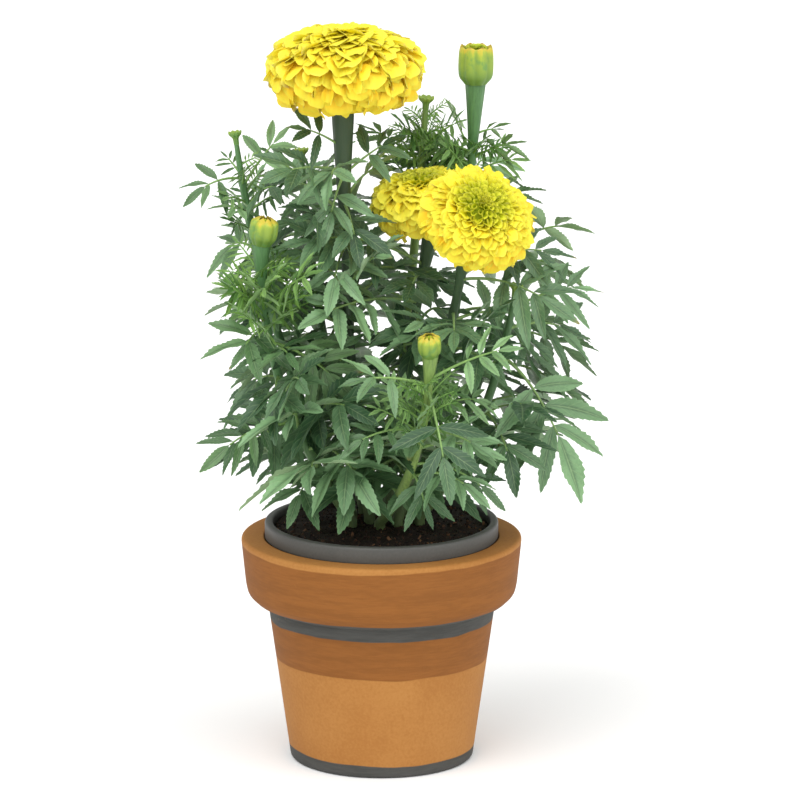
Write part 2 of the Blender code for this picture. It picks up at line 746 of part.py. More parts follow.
def petal(bloom, polar, turn, spread, draw):
    """A fan-shaped petal that leans down as it goes out, to a polar angle, and waves at its edge."""
    wave = draw.uniform(*PETAL_WAVE) * draw.choice((-1, 1))
    reach = draw.uniform(*PETAL_REACH)
    lean = draw.uniform(-PETAL_LEAN, PETAL_LEAN)
    root = max(polar - PETAL_DRIFT, LEAST_POLAR)

    def place(side, share, tilt=0.0):
        drift = (polar - root) * ((share - PETAL_ROOT) / (1 - PETAL_ROOT)) ** DRIFT_CURVE
        return head_point(bloom, root + drift + tilt + lean, turn + side * spread, share)

    outline = [
        place(-PETAL_HALF_FOOT, PETAL_ROOT),
        place(PETAL_HALF_FOOT, PETAL_ROOT),
        place(-PETAL_HALF_EDGE, PETAL_CORNER * reach, wave),
        place(0, reach, -wave),
        place(PETAL_HALF_EDGE, PETAL_CORNER * reach, wave),
    ]
    triangles = [(0, 3, 2), (0, 1, 3), (1, 4, 3)]
    normal = (outline[4] - outline[2]).cross(outline[3] - outline[0]).normalized()
    return slab(outline, [normal * PETAL_HALF_THICKNESS] * len(outline), triangles)


def bloom_body(name, bloom, finish):
    draw = random.Random(name)
    head = new_object("bloom_" + name.split("_")[0], *bloom_core(name, bloom), finish)
    petals = []
    for row, (edge_polar, count) in enumerate(bloom["rings"]):
        for k in range(count):
            turn = TURN * (k + 0.5 * (row % 2)) / count
            body = petal(bloom, math.radians(edge_polar), turn, PETAL_FILL * math.pi / count, draw)
            petals.append(new_object("petal", *body, finish))
    combine(head, petals, "UNION")
    return head


def bud_tuft(name, finish):
    """The young petals that show in the mouth of an open bud, on the cup's floor."""
    bud, stem = BUDS[name], STEMS[name]
    axis = Vector(bud["axis"]).normalized()
    head, _ = stem_curve(stem, 1)
    wide, tall = bud["radius"] * MM, bud["height"] * MM
    floor = head + axis * (tall * CUP_SHAPE[-1][0] + GAP)
    rows = [
        ring(floor + axis * tall * height, axis, wide * width, CORE_SIDES, TUFT_RIDGE)
        for height, width in TUFT_SHAPE
    ]
    return new_object("petals_in_" + name, *tube(rows), finish)


def main():
    for old in list(bpy.data.objects):
        bpy.data.objects.remove(old)
    clay = material("clay", (0.52, 0.22, 0.06), 0.8)
    plastic = material("grower_pot", (0.08, 0.08, 0.08), 0.6)
    earth = material("compost", (0.03, 0.02, 0.012), 0.95)
    green = material("leaf", (0.09, 0.2, 0.07), 0.6)
    yellow = material("petal", (0.9, 0.72, 0.03), 0.6)
    tuft_yellow = material("young_petal", (0.55, 0.6, 0.05), 0.6)

    solids = [clay_pot(clay), grower_pot(plastic), compost(earth)]
    blooms = [bloom_body(name, bloom, yellow) for name, bloom in BLOOMS.items()]
    tufts = [bud_tuft(name, tuft_yellow) for name in BUDS]
    graph = bpy.context.evaluated_depsgraph_get()
    obstacles = [BVHTree.FromObject(piece, graph) for piece in solids + blooms + tufts]
    stems = {name: stem_body(name, stem) for name, stem in STEMS.items()}
    obstacles += [tree_of(body) for body in stems.values()]

    leaves = {name: [] for name in STEMS}
    for name, stem in STEMS.items():
        for k, wish in enumerate(stem["leaves"]):
            leaf = clear_leaf(stem, wish, f"{name} {k}", obstacles)
            if leaf:
                leaves[name].append(leaf)
                obstacles.append(tree_of(leaf.body()))
    for name, body in stems.items():
        node = new_object("stem_" + name, *body, green)
        combine(node, [new_object("leaf", *leaf.body(), green) for leaf in leaves[name]], "UNION")


main()
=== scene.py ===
"""Looks of the potted African marigold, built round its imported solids.

Pieces are made in metres, +Z up, in the solids' own frame. The constants and tables give lengths in
millimetres, and the studio's in metres. The plant's tables and the rules for its leaves and petals repeat
those of the solids, so each finer piece keeps the place and form of the solid that it stands for.
"""

import json
import math
import random
from functools import partialmethod

import bmesh
import bpy
from mathutils import Matrix, Vector, noise
from mathutils.bvhtree import BVHTree
from mathutils.kdtree import KDTree

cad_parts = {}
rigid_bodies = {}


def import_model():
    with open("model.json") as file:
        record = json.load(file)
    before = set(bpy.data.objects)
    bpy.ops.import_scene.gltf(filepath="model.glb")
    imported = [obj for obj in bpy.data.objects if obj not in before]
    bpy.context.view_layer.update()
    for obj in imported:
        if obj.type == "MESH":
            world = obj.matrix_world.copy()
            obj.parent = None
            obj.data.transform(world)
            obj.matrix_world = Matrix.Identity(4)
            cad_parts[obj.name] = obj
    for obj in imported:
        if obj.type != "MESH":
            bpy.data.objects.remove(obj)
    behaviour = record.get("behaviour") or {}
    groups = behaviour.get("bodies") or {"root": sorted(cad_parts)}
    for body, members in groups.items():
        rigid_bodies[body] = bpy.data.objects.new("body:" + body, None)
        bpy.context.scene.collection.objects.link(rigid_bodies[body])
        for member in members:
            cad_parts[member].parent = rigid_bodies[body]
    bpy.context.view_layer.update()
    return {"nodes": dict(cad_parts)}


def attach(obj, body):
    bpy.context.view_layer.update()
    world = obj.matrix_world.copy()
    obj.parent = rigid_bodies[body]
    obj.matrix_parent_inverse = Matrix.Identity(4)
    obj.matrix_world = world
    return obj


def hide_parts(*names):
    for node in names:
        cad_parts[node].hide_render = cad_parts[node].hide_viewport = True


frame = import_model()

MM = 0.001
UP = Vector((0, 0, 1))
TURN = 2 * math.pi
GOLDEN_ANGLE = math.radians(137.508)
SHARP = math.radians(40)

# Clay pot
POT_STEPS = 144
POT_HEIGHT = 114
FOOT_RADIUS = 46
BODY_TOP_RADIUS = 57.3
BAND_HEIGHT = 34  # the thick band round the top
BAND_LOW_RADIUS = 68.2
BAND_TOP_RADIUS = 70.5
BAND_ROUNDING = [(5, 1.6), (1, 5.5), (0, 10)]  # in from its side, and up from its underside
MOUTH_RADIUS = 59
LEDGE_RADIUS = 51.8  # inside, level with the band's underside
FLOOR_HEIGHT = 10
FLOOR_RADIUS = 41
DRAIN_HOLES = 3
DRAIN_RADIUS = 4.5
DRAIN_CIRCLE = 24
POT_WOBBLE = 0.3  # how far the turned clay strays from round
TRUE_WITHIN = 30  # nearer to the axis than this nothing strays

# Painted bands, as heights on the pot's outside: the brown band is painted shade on the rim's band and
# painted shadow of the rim on the body under it, and the charcoal line under the rim is partly painted shade
# in the crevice there
FOOT_LINE_TOP = 6.4
RIM_SHADOW_LOW = 52.5
EDGE_LINE_AND_SHADE_LOW, EDGE_LINE_AND_SHADE_TOP = 72.6, 82.6
SHADED_RIM_TOP = 111.2
EDGE_SOFTNESS = 0.35
EDGE_WAVER = 4.5

# Grower's pot
LINER_STEPS = 128
LINER_WOBBLE = 0.25
LINER_HEIGHT = 122
LINER_FOOT_RADIUS = 39.6
LINER_FLARE = 0.1515
LINER_WALL = 1.2
LINER_RIM_RADIUS = 58.6
LINER_RIM_DEPTH = 8.4
LINER_RIM_INNER = 54.6
GAP = 0.35

# Compost
COMPOST_EDGE_HEIGHT = 118
COMPOST_MOUND = 2.6
COMPOST_SHOULDER = 4
COMPOST_STEPS = 96
COMPOST_RINGS = 26
CLOD_HEIGHT = 1.3
CRUMBS, CHIPS = 260000.0, 22000.0  # to the square metre
CRUMB_SIZE, CHIP_SIZE = 0.8, 1.5
CHIP_SHAPE = (2.0, 0.9, 0.5)

# Stems
STEM_DEPTH = 20
STEM_START = 123.5
STEM_FOOT_RADIUS = 2.9
STEM_MIDDLE_RADIUS = 2.2
SWELLING = 38
SWELLING_CURVE = 1.3
GREEN_BUD_NECK = 0.72  # share of its neck's radius that a stem has under a green bud
STEM_STEPS = 26
HALVINGS = 30
SEAT_DEPTH = 0.5
CALYX_FLARE = 1.5
OPEN_WIDE = 0.1  # a bud that closes less than this is open
CUP_SHAPE = [
    (0, 0.62), (0.06, 0.72), (0.17, 0.93), (0.32, 1.0), (0.62, 1.0), (0.95, 0.96), (1.0, 0.87), (0.82, 0.74),
]
STAR_SHAPE = [
    (0, 0.62), (0.12, 0.74), (0.3, 0.96), (0.6, 1.0), (0.84, 0.95), (0.97, 0.82), (1.05, 0.66), (1.0, 0.6),
    (0.8, 0.66),
]
CUP_RIBS = 8
SIDES_PER_RIB = 6
GREEN_BUD_SHAPE = [
    (0, 0.8), (3.0, 0.85), (4.0, 1.2), (4.8, 1.7), (5.6, 1.95), (6.5, 2.05), (6.7, 1.8), (6.0, 1.0),
    (5.7, 0.4),
]

# Leaves
FIRST_LEAFLET = 0.3
FIRST_YOUNG = 0.14
LEAFLET_SLENDERNESS = 0.155
BLADE_FULLNESS = 1.04  # a leaflet's blade over the plain one of the solid
TOOTH_DEPTH = 0.11  # share of the half width
YOUNG_TOOTH_DEPTH = 0.03
ANGLE_SPREAD = 0.08
LIFT = (-0.1, 0.22)
SIZE_SPREAD = (0.9, 1.08)
DROOP = (0.12, 0.42)
TIP_DROOP = 0.75
SMALLEST_LEAFLET = 0.68
END_LEAFLET = 0.8
SHORTEST_ROW = 0.6
LEAN = 0.8
LEAST_TURN = 0.35
BACK_FROM = 26
LEAST_SPACING = 0.27
ROOM_SHARE = 0.78
WIDEST = 0.42
BASE_ANGLE = math.radians(76)
END_ANGLE = math.radians(42)
RIB_HALF_WIDTH = 0.9
BLADE_HALF_THICKNESS = 0.36
TRIALS = 70
TRIAL_STEP = 2.3
LEAF_START = 0.35
CURVE_STEPS = 8
RIB_STEPS = 8
SAME_PLACE = 0.06  # a leaf's tip this near a solid's corner is that solid's leaf
SMALL_LEAFLET = 15  # below this length a leaflet has fewer faces
FULL_LEAFLET = 30  # a leaflet this long is full grown
YOUNG_TO = 110  # how far below a stem's head its leaves look younger
LEAF_THICKNESS = 0.16
RIB_RADIUS = 0.95
RIB_TAPER = 0.5

# How far leaflets differ: in width, in turn over their length, sideways, in teeth and in shade
LEAFLET_WIDTHS = (0.9, 1.1)
LEAFLET_TWIST = 0.75
LEAFLET_SWAY = 0.09
TOOTH_SPREAD = 0.05
SHADE_SPREAD = 0.3

# Petals
PETAL_THICKNESS = 0.13
YOUNG_PETAL_THICKNESS = 0.12
UNDERSIDE = (1.7, 2.3)  # between these angles from the axis the petals grow calm
LEAST_POLAR = math.radians(1)
ROUND_FROM = 0.66  # share of a petal's length at which its rounded end starts
CORE_OVER_ROOT = 0.05  # how far the core stands over the petals' roots, as a share of the radius
CENTRE_RISE = 0.02  # how much further out the florets in the middle reach
CORE_STEPS = 28
CORE_RINGS = 12
CORE_FROM, CORE_TO = 150, 4  # degrees from the axis

# How far petals differ: in angle from the axis and round it, and in the head's own measures
PETAL_STRAY = 0.04
PETAL_TURN = 0.12
PETAL_WIDTHS = (0.84, 1.14)
PETAL_LEANS = (0.75, 1.2)
PETAL_ROLLS = (0.8, 1.15)
PETAL_RUFFLES = (0.5, 1.3)
PETAL_FLARES = (-0.1, 0.35)
PETAL_TWIST = 0.18
PETAL_SWAY = 0.25

# Studio
CAMERA_TARGET = (0.00925, 0, 0.1834)
CAMERA_DISTANCE = 3
CAMERA_ELEVATION = 13
CAMERA_LENS = 270
SENSOR_WIDTH = 36
WORLD_LIGHT = 0.66
FLOOR_SIZE = 40
# Each light's name, how wide it is, its height and its turn from straight in front, in degrees, and power
SUNS = [("key", 50, 47, -36, 1.55), ("fill", 70, 35, 50, 1.25), ("top", 60, 80, 0, 0.7)]


def v(x, y, z):
    """A point given in millimetres."""
    return Vector((x, y, z)) * MM


# Each stem as in the solids: its foot, the bend and head of its curve, how it ends, its neck's radius, and
# its leaves. A leaf has the height that it starts from, its tip, its arch, and its leaflets' length and
# pairs. The cover leaves and the ferns, by number, start, shortest and longest, are the scene's alone.
# Freshness is how young and bright the leaves are, pale how light the stalk is, and fullness the share of
# filling leaves.
STEMS = {
    "tall_bloom": dict(
        foot=(-6, 1), bend=(-19, 0, 200), head=(-19, 0, 334), end="bloom", neck=6.0, freshness=0.1, pale=0.0,
        swelling=62,
        leaves=[
            (312, (-47, -10, 324), 5, 18, 3), (300, (-60, -32, 300), 9, 27, 4),
            (298, (10, 4, 321), 4, 20, 3), (270, (-43, -34, 281), 10, 27, 3),
            (240, (5, -42, 264), 14, 28, 3), (184, (-80, -44, 154), 12, 32, 4),
            (156, (-19, -60, 129), 12, 33, 3), (262, (-21, 62, 277), 12, 26, 4),
            (218, (-41, 64, 205), 16, 30, 4),
        ],
        cover=[
            (298, (-28, -34, 268), 9, 22, 3), (284, (-10, -38, 258), 9, 25, 3),
            (262, (-26, -46, 236), 12, 27, 3),
        ],
    ),
    "left_bloom": dict(
        foot=(3, 9), bend=(14, 14, 215), head=(25, 11, 267), end="bloom", neck=4.6, freshness=0.2, pale=0.2,
        fullness=0.85,
        leaves=[
            (250, (-48, -40, 263), 22, 30, 4), (231, (-41, -52, 231), 14, 31, 4),
            (150, (13, -46, 124), 12, 26, 3), (205, (25, 74, 202), 18, 30, 4),
            (176, (-3, -58, 170), 14, 29, 3),
        ],
        cover=[(228, (18, -50, 212), 8, 28, 3), (246, (12, -34, 240), 8, 24, 3)],
    ),
    "right_bloom": dict(
        foot=(8, -8), bend=(38, -2, 226), head=(42, -20, 269), end="bloom", neck=4.8, freshness=0.2,
        pale=0.2, fullness=0.2,
        leaves=[
            (254, (97, -10, 257), 14, 23, 3), (248, (98, -38, 238), 16, 28, 3),
            (212, (60, -52, 241), 6, 25, 3), (190, (-8, -62, 182), 12, 28, 3),
            (226, (83, 24, 214), 14, 28, 3),
        ],
        cover=[
            (222, (12, -48, 228), 10, 28, 3), (212, (62, -60, 204), 12, 30, 3),
            (230, (36, -66, 222), 8, 26, 3),
        ],
    ),
    "tall_bud": dict(
        foot=(14, 14), bend=(44, 44, 215), head=(47, 38, 337), end="bud", neck=5.2, freshness=0.7, pale=0.7,
        swelling=34, ferns=(22, 20, 22, 34), fullness=0.5,
        leaves=[
            (299, (73, 30, 309), 4, 17, 4), (311, (62, 46, 312), 3, 12, 3), (300, (33, 52, 331), 2, 16, 3),
            (288, (28, 18, 312), 6, 15, 3), (270, (83, 60, 270), 14, 23, 4), (236, (59, 94, 223), 18, 28, 4),
        ],
    ),
    "small_bud": dict(
        foot=(2, 20), bend=(15, 46, 220), head=(22, 38, 324), end="green_bud", neck=2.0, freshness=0.8,
        pale=0.95, ferns=(24, 4, 24, 36), fullness=0.35,
        leaves=[
            (306, (5, 24, 319), 5, 14, 3), (304, (39, 18, 327), 5, 15, 3), (296, (-12, 30, 321), 6, 18, 4),
            (286, (11, 66, 292), 8, 20, 4), (246, (-5, 86, 234), 18, 28, 4),
        ],
    ),
    "left_bud": dict(
        foot=(-15, -9), bend=(-62, -30, 196), head=(-59, -27, 268), end="bud", neck=4.7, freshness=0.85,
        pale=0.7, swelling=24, ferns=(26, 13, 24, 36),
        leaves=[
            (240, (-81, -38, 244), 6, 18, 4), (236, (-28, -60, 262), 7, 20, 4),
            (226, (-73, -52, 210), 10, 28, 4), (214, (-41, -68, 213), 12, 27, 3),
            (176, (-86, -30, 147), 16, 22, 4), (150, (-47, -44, 128), 14, 24, 3),
        ],
    ),
    "left_top": dict(
        foot=(-15, 8), bend=(-58, 14, 205), head=(-72, 12, 311), end="green_bud", neck=1.7, freshness=0.4,
        pale=0.6, ferns=(8, 8, 20, 30), fullness=0.8,
        leaves=[
            (294, (-99, -4, 283), 9, 18, 3), (290, (-47, 16, 322), 5, 19, 4),
            (276, (-78, -18, 278), 8, 18, 3), (258, (-82, 22, 252), 10, 20, 3),
            (228, (-76, 52, 213), 15, 26, 4), (190, (-78, 20, 177), 16, 28, 4),
        ],
    ),
    "centre_bud": dict(
        foot=(-1, -14), bend=(22, -58, 160), head=(24, -59, 219), end="bud", neck=4.1, freshness=0.5,
        pale=1.0, trim=0.8, swelling=15, ferns=(30, 8, 20, 31),
        leaves=[
            (202, (36, -88, 144), 13, 32, 4), (207, (73, -72, 227), 7, 23, 4),
            (204, (-25, -80, 207), 10, 27, 4), (158, (25, -62, 128), 12, 24, 3),
            (180, (59, -74, 166), 12, 27, 3),
        ],
    ),
    "right_low": dict(
        foot=(19, -2), bend=(56, -8, 170), head=(66, -8, 238), end="green_bud", neck=1.8, freshness=0.25,
        pale=0.4, fullness=0.15,
        leaves=[
            (208, (101, -22, 136), 24, 34, 4), (222, (105, 8, 211), 12, 28, 3),
            (231, (111, 2, 238), 12, 22, 3), (180, (70, -46, 143), 16, 27, 3),
            (166, (89, 36, 147), 18, 28, 4),
        ],
    ),
    "back_left": dict(
        foot=(-9, 20), bend=(-36, 44, 215), head=(-40, 46, 296), end="green_bud", neck=1.8, freshness=0.4,
        pale=0.4,
        leaves=[
            (286, (-66, 58, 298), 8, 18, 4), (276, (-15, 78, 299), 8, 20, 4),
            (246, (-80, 70, 249), 16, 25, 4), (206, (-48, 98, 185), 18, 30, 4),
            (172, (-73, 46, 146), 18, 28, 4),
        ],
    ),
    "back_right": dict(
        foot=(21, 24), bend=(62, 52, 195), head=(68, 54, 268), end="green_bud", neck=1.8, freshness=0.4,
        pale=0.4, fullness=0.35,
        leaves=[
            (252, (106, 34, 262), 12, 24, 4), (240, (83, 90, 233), 14, 26, 4),
            (208, (109, 58, 182), 18, 28, 4), (176, (42, 98, 163), 18, 30, 4),
            (156, (-5, 76, 144), 16, 28, 4),
        ],
    ),
}

# Blooms as in the solids, with the finer petals: how many, the angle from the axis at which the last ones
# end, their half widths at the middle, the widest place and the underside, and how green the middle is.
# Painted light makes the petals of a head paler, most on the left bloom, where the other heads shade it.
BLOOMS = {
    "tall_bloom": dict(
        centre=(-18, 0, 350.5), axis=(0, 0, 1), radius=39.5, above=21.5, below=27, reach=(0.86, 0.97),
        petals=290, last=145, crowding=1.1, widths=(6.6, 7.6, 7.4), drift=(16, 24), rolls=(0.45, 0.85),
        opening=(32, 80), leaning=(0.05, 1.0), ruffle=0.2, greenness=0.03, painted_light=0.3, root=(0.88, 0.76),
    ),
    "left_bloom": dict(
        centre=(21, 10, 281.5), axis=(-0.1, -0.06, 1), radius=26, above=17, below=20, reach=(0.86, 0.98),
        petals=270, last=146, crowding=1.35, widths=(2.6, 5.9, 5.9), drift=(4, 25), rolls=(2.0, 0.8),
        opening=(20, 46), leaning=(0.4, 1.2), ruffle=0.22, greenness=0.8, painted_light=1.8, root=(0.72, 0.76),
    ),
    "right_bloom": dict(
        centre=(46.5, -37, 282.5), axis=(0.3, -0.6, 0.73), radius=29.5, above=18, below=20,
        reach=(0.86, 0.98), petals=370, last=138, crowding=1.75, widths=(2.7, 5.5, 5.5), drift=(3, 26),
        rolls=(2.4, 0.7), opening=(24, 52), leaning=(0.5, 1.4), ruffle=0.21, greenness=0.8, painted_light=0,
        root=(0.7, 0.73),
    ),
}

# Open buds: axis, radius and height of the green cup, and how far its crown is cut into points.
BUDS = {
    "tall_bud": dict(axis=(0.02, 0, 1), radius=9.0, height=19.5, crown=0.07, rib=0.07, closing=0.05),
    "left_bud": dict(axis=(0.16, -0.05, 1), radius=7.3, height=13.5, crown=0.12, rib=0.1, closing=0.36),
    "centre_bud": dict(axis=(-0.05, -0.35, 0.93), radius=5.9, height=11.5, crown=0.12, rib=0.09, closing=0.4),
}

# Half width of the whole bush as it is seen from the front, left and right, at some heights
OUTLINE = [
    (126, -50, 50), (147, -87, 109), (173, -78, 109), (209, -83, 104), (235, -80, 104),
    (260, -90, 99), (286, -93, 89), (312, -78, 71), (325, -65, 59), (333, -45, 50),
]

# Places kept free of filling leaves in front of a flower, as the camera sees them: x from, x to, height
# from, height to, and the depth in front of which no leaf may come
SHOWN = [
    (-28, -10, 297, 330, 0),
    (-60, 6, 326, 380, 100),
    (6, 22, 338, 380, 100),
    (-3, 20, 262, 306, 20),
    (19, 78, 245, 308, 20),
    (-70, -50, 262, 290, -20),
    (14, 34, 197, 222, -50),
    (36, 60, 322, 380, 100),
    (13, 32, 333, 380, 40),
]
SIGHT_SLOPE = 0.231  # how much lower a place is seen for each unit that it is nearer
BUSH_MIDDLE = (5, 6, 0)
BUSH_CENTRE_DEPTH = 3
BUSH_DEPTH = 92
LOWEST_LEAF = 127

# Filling leaves: their heights, sizes and turns, and how far below the head they end
FILLING_FROM = 130
FILLING_STEP = 9.6
FILLING_TRIALS = 16
FILLING_LENGTH = (46, 78)
FILLING_RISE = (-34, 14)
FILLING_ARCH = (12, 26)
FILLING_LEAFLET = (29, 42)
FILLING_PAIRS = (2, 3, 3, 4)
FILLING_TURN = 0.5
FILLING_LEAN = (0.8, 1.5)
TRIAL_TURN = 0.9
BARE_UNDER_BLOOM, BARE_UNDER_FERNS, BARE_END = 34, 26, 14
SHORTENED_FROM = 60  # over this last stretch they grow shorter, and their leaflets smaller
TOP_SHORTER, TOP_SMALLER = 0.45, 0.4
LEAST_ROOM = 2.2

# Ferny young leaves: their rise, leaflets, lean and arch are shares of their length
FERN_TO = 46  # how far below the head the last of a stem's leaves stands
FERN_RISE = (0.2, 0.9)
FERN_LEAFLET = (0.36, 0.5)
FERN_LEAN = (0.6, 1.4)
FERN_ARCH = 0.15
FERN_PAIRS = 6


def paint(code):
    """A colour from its six-digit code, in the linear values that shaders take."""
    shares = [int(code[k : k + 2], 16) / 255 for k in (0, 2, 4)]
    return (*(s / 12.92 if s <= 0.04045 else ((s + 0.055) / 1.055) ** 2.4 for s in shares), 1.0)


class Wire:
    """A value that runs through a node tree. Sums and functions of wires add the nodes for them."""

    def __init__(self, tree, socket):
        self.tree, self.socket = tree, socket
        self.is_vector = socket.type in ("VECTOR", "RGBA")

    def through(self, operation, *others, output=0):
        terms = (self, *others)
        vectors = any(getattr(term, "is_vector", isinstance(term, (tuple, Vector))) for term in terms)
        node = self.tree.nodes.new("ShaderNodeVectorMath" if vectors else "ShaderNodeMath")
        node.operation = operation
        for slot, term in zip(node.inputs, terms):
            feed(self.tree, slot, term)
        return Wire(self.tree, node.outputs[output])

    __add__ = __radd__ = partialmethod(through, "ADD")
    __sub__ = partialmethod(through, "SUBTRACT")
    __mul__ = __rmul__ = partialmethod(through, "MULTIPLY")
    __truediv__ = partialmethod(through, "DIVIDE")
    __pow__ = partialmethod(through, "POWER")
    sin = partialmethod(through, "SINE")
    cos = partialmethod(through, "COSINE")
    size = partialmethod(through, "ABSOLUTE")
    least = partialmethod(through, "MINIMUM")
    most = partialmethod(through, "MAXIMUM")
    above = partialmethod(through, "GREATER_THAN")
    unit = partialmethod(through, "NORMALIZE")
    length = partialmethod(through, "LENGTH", output=1)

    def __rsub__(self, other):
        return self * -1 + other

    def siblings(self):
        """All the outputs of the wire's node."""
        return [Wire(self.tree, output) for output in self.socket.node.outputs]

    def parts(self):
        return Maker(self.tree).add("ShaderNodeSeparateXYZ", Vector=self).siblings()

    def ramp(self, low, high):
        """Rises smoothly from 0 at low to 1 at high."""
        return Maker(self.tree).add(
            "ShaderNodeMapRange", interpolation_type="SMOOTHSTEP", Value=self, From_Min=low, From_Max=high
        )


def feed(tree, slot, value):
    """Links a wire or a list of wires to a node's input, or sets the input's value."""
    if isinstance(value, (Wire, list)):
        for wire in value if isinstance(value, list) else [value]:
            tree.links.new(wire.socket, slot)
    elif slot.type == "VECTOR" and isinstance(value, (int, float)):
        slot.default_value = (value, value, value)
    else:
        slot.default_value = value


class Maker:
    """Adds nodes to a tree."""

    def __init__(self, tree):
        self.tree = tree

    def add(self, kind, output=0, **values):
        """One output of a new node. Names with a capital are its inputs, the others its settings."""
        node = self.tree.nodes.new(kind)
        for label, value in values.items():
            if label.islower():
                setattr(node, label, value)
        for label, value in values.items():
            if not label.islower():
                name = label.replace("_", " ")
                feed(self.tree, next(s for s in node.inputs if s.name == name and s.enabled), value)
        return Wire(self.tree, node.outputs[output])

    def vector(self, x, y, z):
        return self.add("ShaderNodeCombineXYZ", X=x, Y=y, Z=z)


def new_tree(maker, name, kind, inputs, outputs):
    """A maker for a new tree with named sockets, its input wires by name, and where its outputs go."""
    tree = bpy.data.node_groups.new(name, kind)
    for way, kinds in (("INPUT", inputs), ("OUTPUT", outputs)):
        for socket, labels in kinds.items():
            for label in labels:
                tree.interface.new_socket(label, in_out=way, socket_type="NodeSocket" + socket)
    entry = tree.nodes.new("NodeGroupInput")
    given = {socket.name: Wire(tree, socket) for socket in entry.outputs if socket.name}
    return maker(tree), given, tree.nodes.new("NodeGroupOutput").inputs


class Grower(Maker):
    """Short ways to add the geometry nodes that the trees below share."""

    def on(self, kind, **values):
        return self.add("GeometryNode" + kind, **values)

    def place(self):
        return self.on("InputPosition")

    def named(self, name, data_type="FLOAT_VECTOR"):
        return self.on("InputNamedAttribute", data_type=data_type, Name=name)

    def stored(self, geometry, name, value):
        return self.on(
            "StoreNamedAttribute", data_type="FLOAT_VECTOR", domain="POINT",
            Geometry=geometry, Name=name, Value=value,
        )

    def moved(self, geometry, place):
        return self.on("SetPosition", Geometry=geometry, Position=place)

    def joined(self, *geometries):
        return self.on("JoinGeometry", Geometry=list(geometries))

    def parted(self, geometry, selection):
        """What a selection takes of a geometry, and the rest."""
        return self.on("SeparateGeometry", Geometry=geometry, Selection=selection).siblings()

    def blade(self, rows, columns):
        """A flat closed blade. Its values are the place along it, across it, and on which face."""
        grid = self.on("MeshGrid", Size_X=1.0, Size_Y=2.0, Vertices_X=rows, Vertices_Y=columns)
        x, across, _ = self.place().parts()
        along = x + 0.5
        odd = (along * (rows - 1)).through("ROUND").through("MODULO", 2.0)
        edge = across.size().above(0.99)
        swell = ((1 - across * across) * along * (1 - along) * 4).most(0.0) ** 0.5
        faces = []
        for side in (1, -1):
            sheet = self.stored(grid, "blade", self.vector(along, across, swell * side))
            sheet = self.stored(sheet, "rim", self.vector(edge * (1 - odd), edge * odd, 0.0))
            sheet = self.moved(sheet, self.vector(x, across, swell * (side * 0.01)))
            faces.append(sheet if side > 0 else self.on("FlipFaces", Mesh=sheet))
        return self.on("MergeByDistance", Geometry=self.joined(*faces), Distance=1e-5)

    def repeated(self, points, shape):
        copies = self.on("InstanceOnPoints", Points=points, Instance=shape)
        return self.on("RealizeInstances", Geometry=copies)

    def finished(self, geometry, material):
        return self.on("SetMaterial", Geometry=geometry, Material=material)

    def smoothed(self, geometry, material):
        """A finished geometry with smooth faces, and sharp edges between a blade's two sides."""
        smooth = self.on("SetShadeSmooth", Geometry=geometry, Shade_Smooth=True)
        sharp = self.on("InputMeshEdgeAngle").above(math.radians(80))
        whole = self.on("SetShadeSmooth", domain="EDGE", Geometry=smooth, Selection=sharp, Shade_Smooth=False)
        return self.finished(whole, material)


# What each point of a plant's skeleton is for
STALK, LARGE_BLADE, SMALL_BLADE, SHELL = 0, 1, 2, 3

ONE_GEOMETRY = {"Geometry": ["Geometry"]}


def sprig_tree():
    """Grows a leafy stem: stalks along its lines, serrated leaflets on its points, and its cup."""
    inputs = {
        **ONE_GEOMETRY, "Int": ["Stalk Sides"], "Float": ["Flute", "Fold", "Thickness"],
        "Material": ["Stalk", "Leaf", "Cup"],
    }
    grow, given, ends = new_tree(Grower, "leafy_stem", "GeometryNodeTree", inputs, ONE_GEOMETRY)
    kind, radius, tooth = (grow.named(name, "FLOAT") for name in ("kind", "radius", "tooth"))
    lines, rest = grow.parted(given["Geometry"], (STALK + 0.5) - kind)
    shell, blades = grow.parted(rest, kind.above(SMALL_BLADE + 0.5))
    small, large = grow.parted(blades, kind.above(LARGE_BLADE + 0.5))

    curves = grow.on("SetCurveRadius", Curve=grow.on("MeshToCurve", Mesh=lines), Radius=radius)
    profile = grow.on(
        "CurveStar", Points=given["Stalk Sides"], Inner_Radius=given["Flute"], Outer_Radius=1.0
    )
    tubes = grow.on("CurveToMesh", Curve=curves, Profile_Curve=profile, Fill_Caps=True, Scale=radius)

    leaves = grow.joined(grow.repeated(large, grow.blade(21, 5)), grow.repeated(small, grow.blade(8, 3)))
    along, across, side = grow.named("blade").parts()
    notch, point, _ = grow.named("rim").parts()
    size, wide, droop = grow.named("shape").parts()
    twist, sway, phase = grow.named("bend").parts()
    root, aim, broad, face = (grow.named(name) for name in ("root", "aim", "broad", "face"))
    middle = (along * (1 - along) * 4) ** 0.5
    lance = along**0.78 * (1 - along) ** 0.95 * 3.3
    half = wide * lance * (1 - notch * tooth * middle)
    angle = twist * along
    turned_broad = broad * angle.cos() + face * angle.sin()
    turned_face = face * angle.cos() - broad * angle.sin()
    away = across.size()
    fold = half * (away * given["Fold"] - away * away * given["Fold"] * 0.45)
    ripple = half * away * (along * 10 + phase + across * 1.3).sin() * 0.2
    place = (
        root
        + aim * (size * (along + point * 0.024))
        + turned_broad * (across * half)
        + broad * (sway * size * along * along)
        + turned_face * (fold + ripple + side * given["Thickness"])
        + droop * size * along**1.8 * Vector((0, 0, -TIP_DROOP))
    )
    foliage = grow.smoothed(grow.moved(leaves, place), given["Leaf"])
    stalks, cup = grow.smoothed(tubes, given["Stalk"]), grow.smoothed(shell, given["Cup"])
    feed(grow.tree, ends["Geometry"], grow.joined(stalks, foliage, cup))
    return grow.tree


